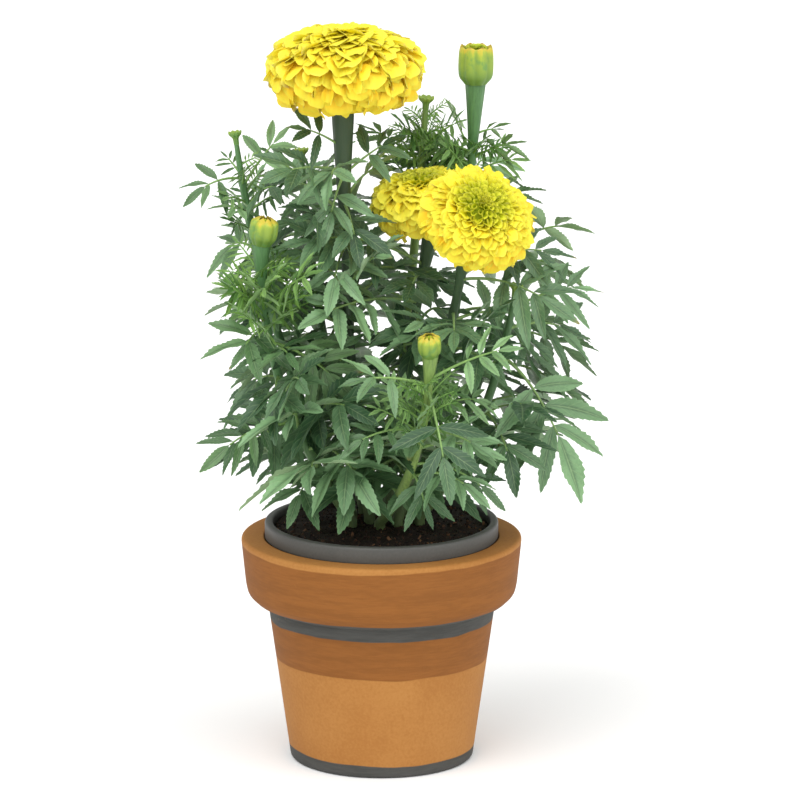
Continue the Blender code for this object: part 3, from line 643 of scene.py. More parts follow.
def petal_tree():
    """Grows a flower head: scooped, ruffled petals that come out of its core and lean over each other."""
    inputs = {
        **ONE_GEOMETRY, "Float": ["Radius", "Above", "Below", "Thickness", "Waves"], "Vector": ["Centre"],
        "Rotation": ["Rotation"], "Material": ["Petal", "Core"],
    }
    grow, given, ends = new_tree(Grower, "petalled_head", "GeometryNodeTree", inputs, ONE_GEOMETRY)
    core, points = grow.parted(given["Geometry"], grow.named("kind", "FLOAT").above(SHELL - 0.5))
    petals = grow.repeated(points, grow.blade(5, 11))
    along, column, side = grow.named("blade").parts()
    across, inner = (column * (math.pi / 2)).sin(), (column * (math.pi / 2)).cos()
    polar_end, turn, drift = grow.named("where").parts()
    wide, reach, roll = grow.named("form").parts()
    phase, ruffle, flare = grow.named("ripple").parts()
    twist, sway, root = grow.named("stance").parts()
    lobes = ((across * 7 + phase).cos() + 1) * 0.02
    out = along * (inner * (1 - ROUND_FROM) + ROUND_FROM - lobes)
    polar_root = (polar_end - drift).most(LEAST_POLAR)
    polar = polar_root + (polar_end - polar_root) * out**1.6
    share = root + (reach - root) * (1 - (1 - out) ** 1.2)
    rise = given["Above"] * polar.cos().most(0.0) ** 0.85 + given["Below"] * polar.cos().least(0.0)
    outward = grow.vector(turn.cos(), turn.sin(), 0.0)
    around = grow.vector(turn.sin() * -1, turn.cos(), 0.0)
    spine = outward * (given["Radius"] * share * polar.sin()) + rise * share * UP
    over = outward * polar.sin() + polar.cos() * UP
    upper = polar.sin() * UP - outward * polar.cos()
    facing = (over * (drift * out**0.6 * 1.6) + upper * ((reach - root) * 1.2)).unit()
    turned_around = around * (twist * out).cos() + facing * (twist * out).sin()
    turned_facing = facing * (twist * out).cos() - around * (twist * out).sin()
    half = wide * ((out.ramp(0.0, 0.68) * (math.pi / 2)).sin() * 0.74 + 0.26)
    angle = across * roll
    scoop = half * (1 - angle.cos()) / roll
    waves = (across * given["Waves"] + phase).sin() * ruffle * out * out
    crimp = (across * 7.5 + phase * 2.3).sin() * ruffle * 0.45 * along**4
    place = (
        spine
        + turned_around * (half * angle.sin() / roll)
        + around * (wide * sway * out * out)
        + turned_facing * (scoop + waves + crimp + wide * flare * out**4 + side * given["Thickness"])
    )
    petals = grow.smoothed(grow.moved(petals, place), given["Petal"])
    whole = grow.on(
        "Transform", Geometry=grow.joined(petals, grow.smoothed(core, given["Core"])),
        Translation=given["Centre"], Rotation=given["Rotation"],
    )
    feed(grow.tree, ends["Geometry"], whole)
    return grow.tree


def crumb_tree():
    """Strews crumbs and bark chips over the top of the compost."""
    inputs = {
        **ONE_GEOMETRY, "Float": ["Crumbs", "Chips", "Crumb Size", "Chip Size"], "Int": ["Seed"],
        "Material": ["Soil", "Bark"],
    }
    grow, given, ends = new_tree(Grower, "crumbly_top", "GeometryNodeTree", inputs, ONE_GEOMETRY)
    top = grow.on("InputNormal").parts()[2].above(0.6)
    ball = grow.on("MeshIcoSphere", Radius=1.0, Subdivisions=1)
    chip = grow.on("MeshCube", Size=Vector(CHIP_SHAPE))
    parts = [grow.smoothed(given["Geometry"], given["Soil"])]
    for shape, density, size, finish, shift in (
        (ball, given["Crumbs"], given["Crumb Size"], given["Soil"], 0),
        (chip, given["Chips"], given["Chip Size"], given["Bark"], 7),
    ):
        seed = given["Seed"] + shift

        def drawn(low, high, more):
            return grow.add("FunctionNodeRandomValue", 1, Min=low, Max=high, Seed=seed + more)

        points = grow.on(
            "DistributePointsOnFaces", Mesh=given["Geometry"], Selection=top, Density=density, Seed=seed
        )
        points = grow.stored(points, "tone", grow.vector(drawn(0.0, 1.0, 1), drawn(0.0, 1.0, 2), 0.0))
        spin = grow.vector(*(drawn(0.0, TURN, more) for more in (3, 4, 5)))
        stretch = grow.vector(drawn(0.6, 1.5, 6), drawn(0.5, 1.3, 8), drawn(0.4, 0.9, 9))
        power = drawn(0.0, 1.0, 10)
        copies = grow.on(
            "InstanceOnPoints", Points=points, Instance=shape,
            Rotation=grow.add("FunctionNodeEulerToRotation", Euler=spin),
            Scale=stretch * size * (power * power * power + 0.35),
        )
        made = grow.on("RealizeInstances", Geometry=copies)
        bumps = grow.add("ShaderNodeTexNoise", 1, Vector=grow.place(), Scale=900.0, Detail=1.0)
        made = grow.on("SetPosition", Geometry=made, Offset=(bumps - 0.5) * size * 1.1)
        parts.append(grow.finished(made, finish))
    feed(grow.tree, ends["Geometry"], grow.joined(*parts))
    return grow.tree


def grown(name, source, tree, **settings):
    """The plain mesh that a tree makes of a source mesh, as a finished object."""
    piece = bpy.data.objects.new(name, source)
    bpy.context.scene.collection.objects.link(piece)
    growth = piece.modifiers.new("growth", "NODES")
    growth.node_group = tree
    for item in tree.interface.items_tree:
        label = item.name.replace(" ", "_")
        if item.in_out == "INPUT" and label in settings:
            growth[item.identifier] = settings[label]
    graph = bpy.context.evaluated_depsgraph_get()
    made = bpy.data.meshes.new_from_object(
        piece.evaluated_get(graph), preserve_all_data_layers=True, depsgraph=graph
    )
    piece.modifiers.clear()
    piece.data = made
    made.name = name
    return piece


class Cloud:
    """Points, lines and faces with values of their own, gathered for one mesh."""

    def __init__(self):
        self.points, self.edges, self.faces, self.values = [], [], [], []

    def point(self, place, **values):
        self.points.append(place)
        self.values.append(values)
        return len(self.points) - 1

    def line(self, places, radii, tones):
        made = [
            self.point(place, kind=float(STALK), radius=radius, tone=tone)
            for place, radius, tone in zip(places, radii, tones)
        ]
        self.edges += zip(made, made[1:])

    def skin(self, rows, tones):
        """A closed skin through rows of points that each go round once."""
        sides, first = len(rows[0]), len(self.points)
        for row, tone in zip(rows, tones):
            for place in row:
                self.point(place, kind=float(SHELL), tone=tone)
        for k in range(len(rows) - 1):
            for side in range(sides):
                a, b = first + k * sides + side, first + k * sides + (side + 1) % sides
                self.faces.append((a, b, b + sides, a + sides))
        last = first + (len(rows) - 1) * sides
        start = self.point(sum(rows[0], Vector()) / sides, kind=float(SHELL), tone=tones[0])
        self.faces += [(start, first + (s + 1) % sides, first + s) for s in range(sides)]
        end = self.point(sum(rows[-1], Vector()) / sides, kind=float(SHELL), tone=tones[-1])
        self.faces += [(end, last + s, last + (s + 1) % sides) for s in range(sides)]

    def mesh(self, name):
        made = bpy.data.meshes.new(name)
        made.from_pydata([tuple(p) for p in self.points], self.edges, self.faces)
        for label in sorted({label for values in self.values for label in values}):
            found = [values.get(label) for values in self.values]
            vectors = any(isinstance(value, (Vector, tuple)) for value in found)
            holder = made.attributes.new(label, "FLOAT_VECTOR" if vectors else "FLOAT", "POINT")
            if vectors:
                flat = [part for value in found for part in value or (0.0, 0.0, 0.0)]
                holder.data.foreach_set("vector", flat)
            else:
                holder.data.foreach_set("value", [value or 0.0 for value in found])
        return made


def smooth(low, high, value):
    """Rises smoothly from 0 at low to 1 at high."""
    share = min(1, max(0, (value - low) / (high - low)))
    return share * share * (3 - 2 * share)


def eased(values, share):
    """A value that runs smoothly through three: in the middle of a head, at its widest and underneath."""
    middle, widest, under = values
    return middle + (widest - middle) * smooth(0, 0.5, share) + (under - widest) * smooth(0.5, 1, share)


def on_curve(start, bend, end, share):
    """A point and a direction on the curve from start to end, pulled towards bend."""
    rest = 1 - share
    point = start * rest * rest + bend * 2 * rest * share + end * share * share
    direction = (bend - start) * 2 * rest + (end - bend) * 2 * share
    return point, direction.normalized()


def stem_curve(stem, share):
    return on_curve(v(*stem["foot"], STEM_START), v(*stem["bend"]), v(*stem["head"]), share)


def stem_radius(stem, share):
    start, _ = stem_curve(stem, 0)
    length = (v(*stem["head"]) - start).length
    slim = (STEM_FOOT_RADIUS + (STEM_MIDDLE_RADIUS - STEM_FOOT_RADIUS) * min(1, share * 2)) * MM
    near_head = max(0, 1 - (1 - share) * length / (stem.get("swelling", SWELLING) * MM))
    neck = stem["neck"] * (GREEN_BUD_NECK if stem["end"] == "green_bud" else 1) * MM
    return slim + (neck - slim) * near_head**SWELLING_CURVE


def stem_at(stem, height):
    """The point, direction and radius of a stem where it reaches a height."""
    low, high = 0.0, 1.0
    for _ in range(HALVINGS):
        middle = (low + high) / 2
        point, direction = stem_curve(stem, middle)
        low, high = (middle, high) if point.z < height else (low, middle)
    return point, direction, stem_radius(stem, middle)


def ring(centre, axis, radius, sides):
    """Points round a centre, each with its own radius if the radius is a list."""
    first = (Vector((1, 0, 0)) - axis * axis.x).normalized()
    second = axis.cross(first)
    radii = radius if isinstance(radius, list) else [radius] * sides
    return [
        centre + (first * math.cos(TURN * k / sides) + second * math.sin(TURN * k / sides)) * radii[k]
        for k in range(sides)
    ]


class Leaf:
    """A pinnate leaf's rib and the places of its leaflets, by the rule that the solid ones follow."""

    def __init__(self, base, tip, arch, leaflet, pairs, seed, outside=None, first=FIRST_LEAFLET):
        self.base, self.tip, self.leaflet, self.first, self.seed = base, tip, leaflet, first, seed
        self.bend = (base + tip) / 2 + UP * arch
        reach = (tip - base).normalized()
        if outside is None:
            outside = Vector((0, -1 if tip.y < BACK_FROM * MM else 1, 0))
        self.across = reach.cross((UP + outside * LEAN).normalized())
        if self.across.length < LEAST_TURN:
            self.across = reach.cross(UP)
        self.across.normalize()
        places = [self.at(k / CURVE_STEPS)[0] for k in range(CURVE_STEPS + 1)]
        self.length = sum((b - a).length for a, b in zip(places, places[1:]))
        self.end = max(SHORTEST_ROW, 1 - END_LEAFLET * leaflet / self.length)
        row = (self.end - first) * self.length
        self.pairs = max(2, min(pairs, round(row / (leaflet * LEAST_SPACING))))
        self.spacing = row / self.pairs

    def at(self, share):
        return on_curve(self.base, self.bend, self.tip, share)

    def frame(self, share):
        """The point on the rib, its direction, the one across the leaf and the one out of its face."""
        point, direction = self.at(share)
        return point, direction, self.across, self.across.cross(direction).normalized()

    def rib(self, steps):
        """Places along the rib, past its root."""
        return [self.at(step / steps)[0] for step in range(1, steps + 1)]

    def room(self):
        """Half the space that a leaflet has between its neighbours."""
        parting = (BASE_ANGLE - END_ANGLE) / max(1, self.pairs - 1)
        apart = self.spacing * math.sin((BASE_ANGLE + END_ANGLE) / 2) + WIDEST * self.leaflet * parting
        return ROOM_SHARE * apart / 2

    def leaflets(self):
        """Each leaflet's root, direction, length, droop and the face of the leaf there."""
        draw = random.Random(self.seed)
        found = []
        for k in range(self.pairs):
            share = self.first + (self.end - self.first) * (k + 0.55) / self.pairs
            angle = BASE_ANGLE + (END_ANGLE - BASE_ANGLE) * k / max(1, self.pairs - 1)
            swell = math.sin(math.pi * (k + 0.9) / (self.pairs + 0.6))
            size = self.leaflet * (SMALLEST_LEAFLET + (1 - SMALLEST_LEAFLET) * swell)
            point, direction, across, face = self.frame(share)
            for side in (1, -1):
                turn = angle + draw.uniform(-ANGLE_SPREAD, ANGLE_SPREAD)
                lift = draw.uniform(*LIFT)
                aim = direction * math.cos(turn) + across * side * math.sin(turn) + face * lift
                size_here = size * draw.uniform(*SIZE_SPREAD)
                droop = draw.uniform(*DROOP)
                root = point + across * side * RIB_HALF_WIDTH * MM * 0.3
                found.append((root, aim.normalized(), size_here, droop, face))
        return found

    def middles(self):
        """The middle of each leaflet, as if none drooped."""
        return [root + aim * size * 0.5 for root, aim, size, _, _ in self.leaflets()]

    def end_corners(self):
        """The two corners of the solid leaf's tip, on its face and on its back."""
        point, _, _, face = self.frame(1)
        return [point + face * side * BLADE_HALF_THICKNESS * MM for side in (1, -1)]


def trial_tips(base, tip):
    """The wished tip, then places ever further round it, across the leaf's direction."""
    reach = (tip - base).normalized()
    side = reach.cross(UP).normalized()
    rise = side.cross(reach).normalized()
    for k in range(TRIALS):
        angle, step = k * GOLDEN_ANGLE, TRIAL_STEP * MM * math.sqrt(k)
        yield tip + side * step * math.cos(angle) + rise * step * math.sin(angle)


def wished_leaf(stem, wish, seed, corners=None):
    """The leaf for a wished tip. Given the solid's corners, it is the trial whose tip is one of them."""
    height, tip, arch, leaflet, pairs = wish
    point, _, radius = stem_at(stem, height * MM)
    wished = v(*tip)
    base = point + (wished - point).normalized() * radius * LEAF_START
    for place in trial_tips(base, wished) if corners else ():
        leaf = Leaf(base, place, arch * MM, leaflet * MM, pairs, seed)
        if min(corners.find(corner)[2] for corner in leaf.end_corners()) < SAME_PLACE * MM:
            return leaf
    return Leaf(base, wished, arch * MM, leaflet * MM, pairs, seed)


def corners_of(node):
    mesh = frame["nodes"][node].data
    tree = KDTree(len(mesh.vertices))
    for k, vertex in enumerate(mesh.vertices):
        tree.insert(vertex.co, k)
    tree.balance()
    return tree


def skin_of(node):
    mesh = frame["nodes"][node].data
    return BVHTree.FromPolygons([p.co for p in mesh.vertices], [p.vertices for p in mesh.polygons])


def crosses(skins, places):
    """Whether the line through some places passes through any of the skins."""
    for a, b in zip(places, places[1:]):
        step = b - a
        if any(skin.ray_cast(a, step.normalized(), step.length)[0] is not None for skin in skins):
            return True
    return False


def outline_at(height):
    """The bush's left and right limits at a height, in millimetres."""
    for (low, *low_ends), (high, *high_ends) in zip(OUTLINE, OUTLINE[1:]):
        if height <= high:
            share = max(0, (height - low) / (high - low))
            return [a + (b - a) * share for a, b in zip(low_ends, high_ends)]
    return [0, 0]


def is_welcome(place):
    """Whether a filling leaf may reach a place: inside the bush and not in front of a flower."""
    x, y, z = (part / MM for part in place)
    left, right = outline_at(z)
    if not (left < x < right and abs(y - BUSH_CENTRE_DEPTH) < BUSH_DEPTH and z > LOWEST_LEAF):
        return False
    seen = z + SIGHT_SLOPE * y
    return not any(x0 < x < x1 and z0 < seen < z1 and y < depth for x0, x1, z0, z1, depth in SHOWN)


def outwards(turn):
    """The level direction at a turn round the axis."""
    return Vector((math.cos(turn), math.sin(turn), 0))


def filling_leaves(name, stem, skins, taken):
    """More leaves all round a stem, each the best spread of a few drawn by a golden angle."""
    draw = random.Random("filling " + name)
    bare = BARE_UNDER_BLOOM if stem["end"] == "bloom" else BARE_UNDER_FERNS if "ferns" in stem else BARE_END
    low, high = FILLING_FROM, stem["head"][2] - bare
    count = round((high - low) / FILLING_STEP * stem.get("fullness", 1))
    found = []
    for k in range(count):
        height = low + (high - low) * (k + 0.5) / count
        point, _, radius = stem_at(stem, height * MM)
        near_top = max(0, (height - high + SHORTENED_FROM) / SHORTENED_FROM)
        best, best_room = None, LEAST_ROOM * MM
        for trial in range(FILLING_TRIALS):
            turn = k * GOLDEN_ANGLE + draw.uniform(-FILLING_TURN, FILLING_TURN) + trial * TRIAL_TURN
            reach = outwards(turn)
            length = draw.uniform(*FILLING_LENGTH) * (1 - TOP_SHORTER * near_top)
            tip = point + reach * length * MM + UP * draw.uniform(*FILLING_RISE) * MM
            middle = point + reach * length * MM * 0.7
            outside = Vector((middle.x, middle.y, 0)) - v(*BUSH_MIDDLE)
            outside = (outside.normalized() + reach * draw.uniform(-0.4, 0.4)) * draw.uniform(*FILLING_LEAN)
            leaflet = (draw.uniform(*FILLING_LEAFLET) * (1 - TOP_SMALLER * near_top)) * MM
            base = point + reach * radius * LEAF_START
            arch, pairs = draw.uniform(*FILLING_ARCH) * MM, draw.choice(FILLING_PAIRS)
            leaf = Leaf(base, tip, arch, leaflet, pairs, f"{name} filling {k} {trial}", outside)
            roots, ends = [], []
            for root, aim, size, droop, _ in leaf.leaflets():
                roots.append(root)
                ends.append(root + aim * size - UP * size * droop * TIP_DROOP)
            if not all(is_welcome(end) for end in [tip, *ends]):
                continue
            if any(crosses(skins, line) for line in [leaf.rib(6), *zip(roots, ends)]):
                continue
            marks = [tip, *[(root + end) / 2 for root, end in zip(roots, ends)]]
            room = sum(min((mark - other).length for other in taken) for mark in marks) / len(marks)
            if room > best_room:
                best, best_room = leaf, room
        if best:
            found.append(best)
            taken += [*best.middles(), best.tip]
    return found


def young_leaves(name, stem, skins):
    """The small ferny leaves that stand round a stem under its young bud, longer further down."""
    draw = random.Random("young " + name)
    top, (count, first, shortest, longest) = stem["head"][2], stem["ferns"]
    found = []
    for k in range(count):
        depth = (k + 0.5) / count
        height = top - first - (FERN_TO - first) * depth
        point, _, radius = stem_at(stem, height * MM)
        for trial in range(FILLING_TRIALS):
            reach = outwards((k + 0.37 * trial) * GOLDEN_ANGLE)
            length = draw.uniform(shortest, longest) * (0.55 + 0.6 * depth) * (1 - 0.03 * trial)
            tip = point + (reach * length + UP * length * draw.uniform(*FERN_RISE)) * MM
            base = point + reach * radius * LEAF_START
            leaflet = (tip - base).length * draw.uniform(*FERN_LEAFLET)
            beside = Vector((-reach.y, reach.x, 0)) * draw.uniform(*FERN_LEAN)
            if beside.y > 0:
                beside = -beside
            arch = length * FERN_ARCH * MM
            leaf = Leaf(base, tip, arch, leaflet, FERN_PAIRS, f"{name} young {k}", beside, FIRST_YOUNG)
            ends = [root + aim * size for root, aim, size, _, _ in leaf.leaflets()]
            if all(is_welcome(end) for end in [tip, *ends]) and not crosses(skins, leaf.rib(4)):
                found.append(leaf)
                break
    return found


def add_leaf(cloud, leaf, age, trim=1.0):
    """A leaf's rib and blades. Age goes from 0, young and bright, to 1, full grown."""
    look = random.Random(str(leaf.seed) + " colour")
    shade = look.random()
    steps = [k / RIB_STEPS for k in range(RIB_STEPS + 1)]
    thick = 0.55 + 0.45 * min(1, leaf.leaflet / (FULL_LEAFLET * MM))
    places = [leaf.at(leaf.end * k / RIB_STEPS)[0] for k in range(RIB_STEPS + 1)]
    radii = [(RIB_RADIUS - RIB_TAPER * k / RIB_STEPS) * MM * thick for k in range(RIB_STEPS + 1)]
    cloud.line(places, radii, [(age, shade, 1 - step) for step in steps])
    point, _, _, face = leaf.frame(leaf.end)
    last = leaf.tip - point
    listed = [(*leaflet, leaf.room()) for leaflet in leaf.leaflets()]
    listed.append((point, last.normalized(), last.length, 0.0, face, leaf.leaflet))
    for root, aim, size, droop, face, room in listed:
        size *= trim
        face = (face - aim * face.dot(aim)).normalized()
        slim = 1 - (1 - age) * (0.12 + 0.28 * smooth(26, 12, size / MM))
        wide = min(size * LEAFLET_SLENDERNESS, room) * BLADE_FULLNESS * slim * look.uniform(*LEAFLET_WIDTHS)
        cloud.point(
            root,
            kind=float(LARGE_BLADE if size > SMALL_LEAFLET * MM else SMALL_BLADE),
            root=root, aim=aim, broad=face.cross(aim), face=face,
            shape=(size, wide, droop),
            bend=(
                look.uniform(-LEAFLET_TWIST, LEAFLET_TWIST), look.uniform(-LEAFLET_SWAY, LEAFLET_SWAY),
                look.uniform(0, TURN),
            ),
            tooth=TOOTH_DEPTH + YOUNG_TOOTH_DEPTH * (1 - age) + look.uniform(0, TOOTH_SPREAD),
            tone=(age, min(1, max(0, shade + look.uniform(-SHADE_SPREAD, SHADE_SPREAD))), look.random()),
        )


def cut_corners(rows, rounds):
    """Rows of numbers made smooth by cutting their corners, with both ends kept."""
    for _ in range(rounds):
        finer = [rows[0]]
        for a, b in zip(rows, rows[1:]):
            finer.append(tuple(p * 0.75 + q * 0.25 for p, q in zip(a, b)))
            finer.append(tuple(p * 0.25 + q * 0.75 for p, q in zip(a, b)))
        rows = [*finer, rows[-1]]
    return rows


def add_cup(cloud, head, axis, wide, tall, shape, crown, rib, closing=0.0, ripe=1.0):
    """A ribbed cup or bud from rows of (share of height, share of width), with a crown of points."""
    sides = CUP_RIBS * SIDES_PER_RIB
    places = [(side / SIDES_PER_RIB) % 1 for side in range(sides)]
    ribs = [math.sin(math.pi * place) ** 0.7 for place in places]
    points = [1 - abs(place * 2 - 1) for place in places]
    shares = cut_corners(shape, 2)
    top = max(height for height, _ in shares)
    first = len(cloud.points)
    rows = []
    for height, width in shares:
        near_top = smooth(0.66, 1.0, height / top)
        near_rim = smooth(0.8, 1.0, height / top) * closing
        radii = [
            wide * (width - near_rim * point) * (1 - rib + rib * 1.3 * r) for r, point in zip(ribs, points)
        ]
        row = ring(head, axis, radii, sides)
        lifted = [height * tall + tall * crown * near_top * (point - 0.6) for point in points]
        rows.append([place + axis * lift for place, lift in zip(row, lifted)])
    cloud.skin(rows, [(0, 0, 0)] * len(rows))
    for k, (height, _) in enumerate(shares):
        for side in range(sides):
            tone = (height / top * (0.45 + 0.55 * ripe), ribs[side], points[side] * ripe)
            cloud.values[first + k * sides + side]["tone"] = tone


def axis_of(head):
    return Vector(head["axis"]).normalized()


def leafy_stem(name, stem):
    """A stem's skeleton with the bud that it ends in, if any, and its main leaves."""
    cloud = Cloud()
    shares = [k / STEM_STEPS for k in range(STEM_STEPS + 1)]
    places = [stem_curve(stem, share)[0] for share in shares]
    radii = [stem_radius(stem, share) for share in shares]
    head, direction = stem_curve(stem, 1)
    neck = stem["neck"] * MM
    places, radii = [places[0] - UP * STEM_DEPTH * MM, *places], [radii[0], *radii]
    if stem["end"] == "bloom":
        bloom = BLOOMS[name]
        axis = axis_of(bloom)
        seat = v(*bloom["centre"]) - axis * bloom["below"] * SEAT_DEPTH * MM
        places += [seat - axis * (seat - head).length / 2, seat]
        radii += [neck * (1 + CALYX_FLARE) / 2, neck * CALYX_FLARE]
    cloud.line(places, radii, [(stem["pale"], 0.5, 2.0 - k / len(places)) for k in range(len(places))])
    if stem["end"] == "bud":
        bud = BUDS[name]
        shape = CUP_SHAPE if bud["closing"] < OPEN_WIDE else STAR_SHAPE
        wide, tall = bud["radius"] * MM, bud["height"] * MM
        add_cup(cloud, head, axis_of(bud), wide, tall, shape, bud["crown"], bud["rib"], bud["closing"])
    elif stem["end"] == "green_bud":
        add_cup(cloud, head, direction, neck, MM, GREEN_BUD_SHAPE, 0.6, 0.14, ripe=0.0)
    corners = corners_of("stem_" + name)
    leaves = [wished_leaf(stem, wish, f"{name} {k}", corners) for k, wish in enumerate(stem["leaves"])]
    for k, wish in enumerate(stem.get("cover", [])):
        leaves.append(wished_leaf(stem, wish, f"{name} cover {k}"))
    return cloud, leaves


def stem_piece(name, stem, tree, finishes, cloud, leaves):
    top = stem["head"][2] * MM
    for leaf in leaves:
        near_top = max(0, 1 - (top - leaf.base.z) / (YOUNG_TO * MM))
        small = 1 - min(1, leaf.leaflet / (FULL_LEAFLET * MM))
        youth = stem["freshness"] * (0.2 + 0.4 * near_top) + small * (0.4 + 0.6 * stem["freshness"])
        add_leaf(cloud, leaf, 1 - min(1, youth), stem.get("trim", 1))
    piece = grown(
        "leafy_" + name, cloud.mesh(name), tree,
        Stalk_Sides=6, Flute=0.86, Fold=0.8, Thickness=LEAF_THICKNESS * MM,
        Stalk=finishes["stalk"], Leaf=finishes["leaf"], Cup=finishes["cup"],
    )
    keep(piece, "stem_" + name)


def keep(piece, node):
    """Sets a finished piece on the part, in place of the solid that it stands for."""
    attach(piece, "root")
    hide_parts(node)


def head_angles(head):
    """The turn that takes a head from upright to its own axis."""
    axis = axis_of(head)
    first = (Vector((1, 0, 0)) - axis * axis.x).normalized()
    return Matrix((first, axis.cross(first), axis)).transposed().to_euler()


def root_share(head, share):
    """How far out of its core a head's petals start."""
    return eased((*head["root"], head["root"][1]), share)


def petal_cloud(name, head):
    """The petals of a head by the golden angle, from the middle down to its underside."""
    cloud = Cloud()
    draw = random.Random(name)
    low = math.cos(math.radians(head["last"]))
    opening = [math.radians(angle) for angle in head["opening"]]
    (first_lean, last_lean), (first_roll, last_roll) = head["drift"], head["rolls"]
    least_reach, most_reach = head["reach"]
    for k in range(head["petals"]):
        share = ((k + 0.5) / head["petals"]) ** head["crowding"]
        polar = max(LEAST_POLAR, math.acos(1 - (1 - low) * share) + draw.gauss(0, PETAL_STRAY))
        share = polar / math.radians(head["last"])
        outer = smooth(*opening, polar)
        calm = smooth(*UNDERSIDE, polar)
        rough = 0.4 + 0.6 * outer
        wide = eased(head["widths"], share) * draw.uniform(*PETAL_WIDTHS)
        lean = first_lean + (last_lean - first_lean) * smooth(*head["leaning"], polar)
        lean = math.radians(lean) * draw.uniform(*PETAL_LEANS)
        roll = (first_roll + (last_roll - first_roll) * outer) * draw.uniform(*PETAL_ROLLS)
        turn = k * GOLDEN_ANGLE + draw.uniform(-PETAL_TURN, PETAL_TURN)
        shorter = draw.random() * ((most_reach - least_reach) * rough)
        phase = draw.uniform(0, TURN)
        ruffle = draw.uniform(*PETAL_RUFFLES) * wide * head["ruffle"] * rough * MM
        flare = draw.uniform(*PETAL_FLARES) * outer * (1 - calm)
        twist = draw.gauss(0, PETAL_TWIST) * (1 - 0.8 * calm)
        # The tone's second number adds the head's painted light to a random shade; its third, the angle from
        # the axis, gives the head's underside painted shade.
        cloud.point(
            (0, 0, 0),
            kind=float(LARGE_BLADE),
            where=(polar, turn, lean),
            form=(wide * MM, most_reach - shorter + CENTRE_RISE * (1 - outer), roll),
            ripple=(phase, ruffle, flare),
            stance=(twist, draw.uniform(-PETAL_SWAY, PETAL_SWAY), root_share(head, share)),
            tone=(head["greenness"] * (1 - outer), draw.random() + head["painted_light"], polar / math.pi),
        )
    return cloud


def add_core(cloud, bloom):
    """The smooth middle of a head, out of which the petals come."""
    rows, tones = [], []
    for k in range(CORE_RINGS + 1):
        polar = math.radians(CORE_FROM - (CORE_FROM - CORE_TO) * k / CORE_RINGS)
        core = (root_share(bloom, polar / math.radians(bloom["last"])) + CORE_OVER_ROOT) * MM
        height = bloom["above"] if polar < math.pi / 2 else bloom["below"]
        centre, radius = UP * height * core * math.cos(polar), bloom["radius"] * core * math.sin(polar)
        rows.append(ring(centre, UP, radius, CORE_STEPS))
        tones.append((bloom["greenness"] * smooth(0.4, 0.9, k / CORE_RINGS), 0.5, 0.5))
    cloud.skin(rows, tones)


def bloom_piece(name, bloom, tree, finishes):
    cloud = petal_cloud(name, bloom)
    add_core(cloud, bloom)
    piece = grown(
        "petals_of_" + name, cloud.mesh(name), tree,
        Radius=bloom["radius"] * MM, Above=bloom["above"] * MM, Below=bloom["below"] * MM,
        Thickness=PETAL_THICKNESS * MM, Waves=4.6, Centre=v(*bloom["centre"]),
        Rotation=head_angles(bloom), Petal=finishes["petal"], Core=finishes["core"],
    )
    keep(piece, "bloom_" + name.split("_")[0])


def tuft_piece(name, bud, tree, finishes):
    """The young petals that show in the mouth of an open bud."""
    head, _ = stem_curve(STEMS[name], 1)
    wide, tall, closing = bud["radius"], bud["height"], bud["closing"]
    is_open = closing < OPEN_WIDE
    tuft = dict(
        petals=30, last=72, crowding=1.1, widths=(wide * 0.16, wide * 0.26, wide * 0.26), drift=(2, 12),
        rolls=(1.6, 1.0), opening=(24, 52), leaning=(0.5, 1.4), ruffle=0.2, greenness=0.8,
        painted_light=0, root=(0.15, 0.15), reach=(0.8, 1.0),
    )
    piece = grown(
        "young_petals_" + name, petal_cloud(name, tuft).mesh("young " + name), tree,
        Radius=wide * (0.8 if is_open else 0.72 - closing * 0.5) * MM,
        Above=tall * (0.14 if is_open else 0.24 - closing * 0.25) * MM, Below=tall * 0.2 * MM,
        Thickness=YOUNG_PETAL_THICKNESS * MM, Waves=3.0,
        Centre=head + axis_of(bud) * tall * (0.88 if is_open else 0.8) * MM,
        Rotation=head_angles(bud), Petal=finishes["young_petal"], Core=finishes["core"],
    )
    keep(piece, "petals_in_" + name)


def turned(name, profile, steps, finish, wobble):
    """A piece turned on its axis from a profile of (radius, height) in millimetres."""
    mesh = bmesh.new()
    points = [mesh.verts.new((radius * MM, 0, height * MM)) for radius, height in profile]
    edges = [mesh.edges.new(pair) for pair in zip(points, points[1:])]
    bmesh.ops.spin(
        mesh, geom=points + edges, cent=(0, 0, 0), axis=(0, 0, 1), angle=TURN, steps=steps, use_merge=True
    )
    bmesh.ops.remove_doubles(mesh, verts=mesh.verts, dist=1e-6)
    bmesh.ops.recalc_face_normals(mesh, faces=mesh.faces)
    for point in mesh.verts:
        reach = Vector((point.co.x, point.co.y, 0))
        if reach.length > TRUE_WITHIN * MM and point.co.z > 0.5 * MM:
            point.co += reach.normalized() * (noise.noise(point.co * 22) * wobble * MM)
    data = bpy.data.meshes.new(name)
    mesh.to_mesh(data)
    mesh.free()
    data.shade_smooth()
    data.set_sharp_from_angle(angle=SHARP)
    data.materials.append(finish)
    made = bpy.data.objects.new(name, data)
    bpy.context.scene.collection.objects.link(made)
    return made


def rounded(profile, steps=5):
    """A profile whose corners are rounded by their third number, its reach along each side."""
    found = []
    for k, (radius, height, ease) in enumerate(profile):
        here = Vector((radius, height))
        if ease == 0 or k in (0, len(profile) - 1):
            found.append(tuple(here))
            continue
        sides = [Vector(other[:2]) - here for other in (profile[k - 1], profile[k + 1])]
        start, end = (here + side.normalized() * min(ease, side.length * 0.48) for side in sides)
        for step in range(steps + 1):
            share = step / steps
            rest = 1 - share
            found.append(tuple(start * rest * rest + here * 2 * rest * share + end * share * share))
    return found


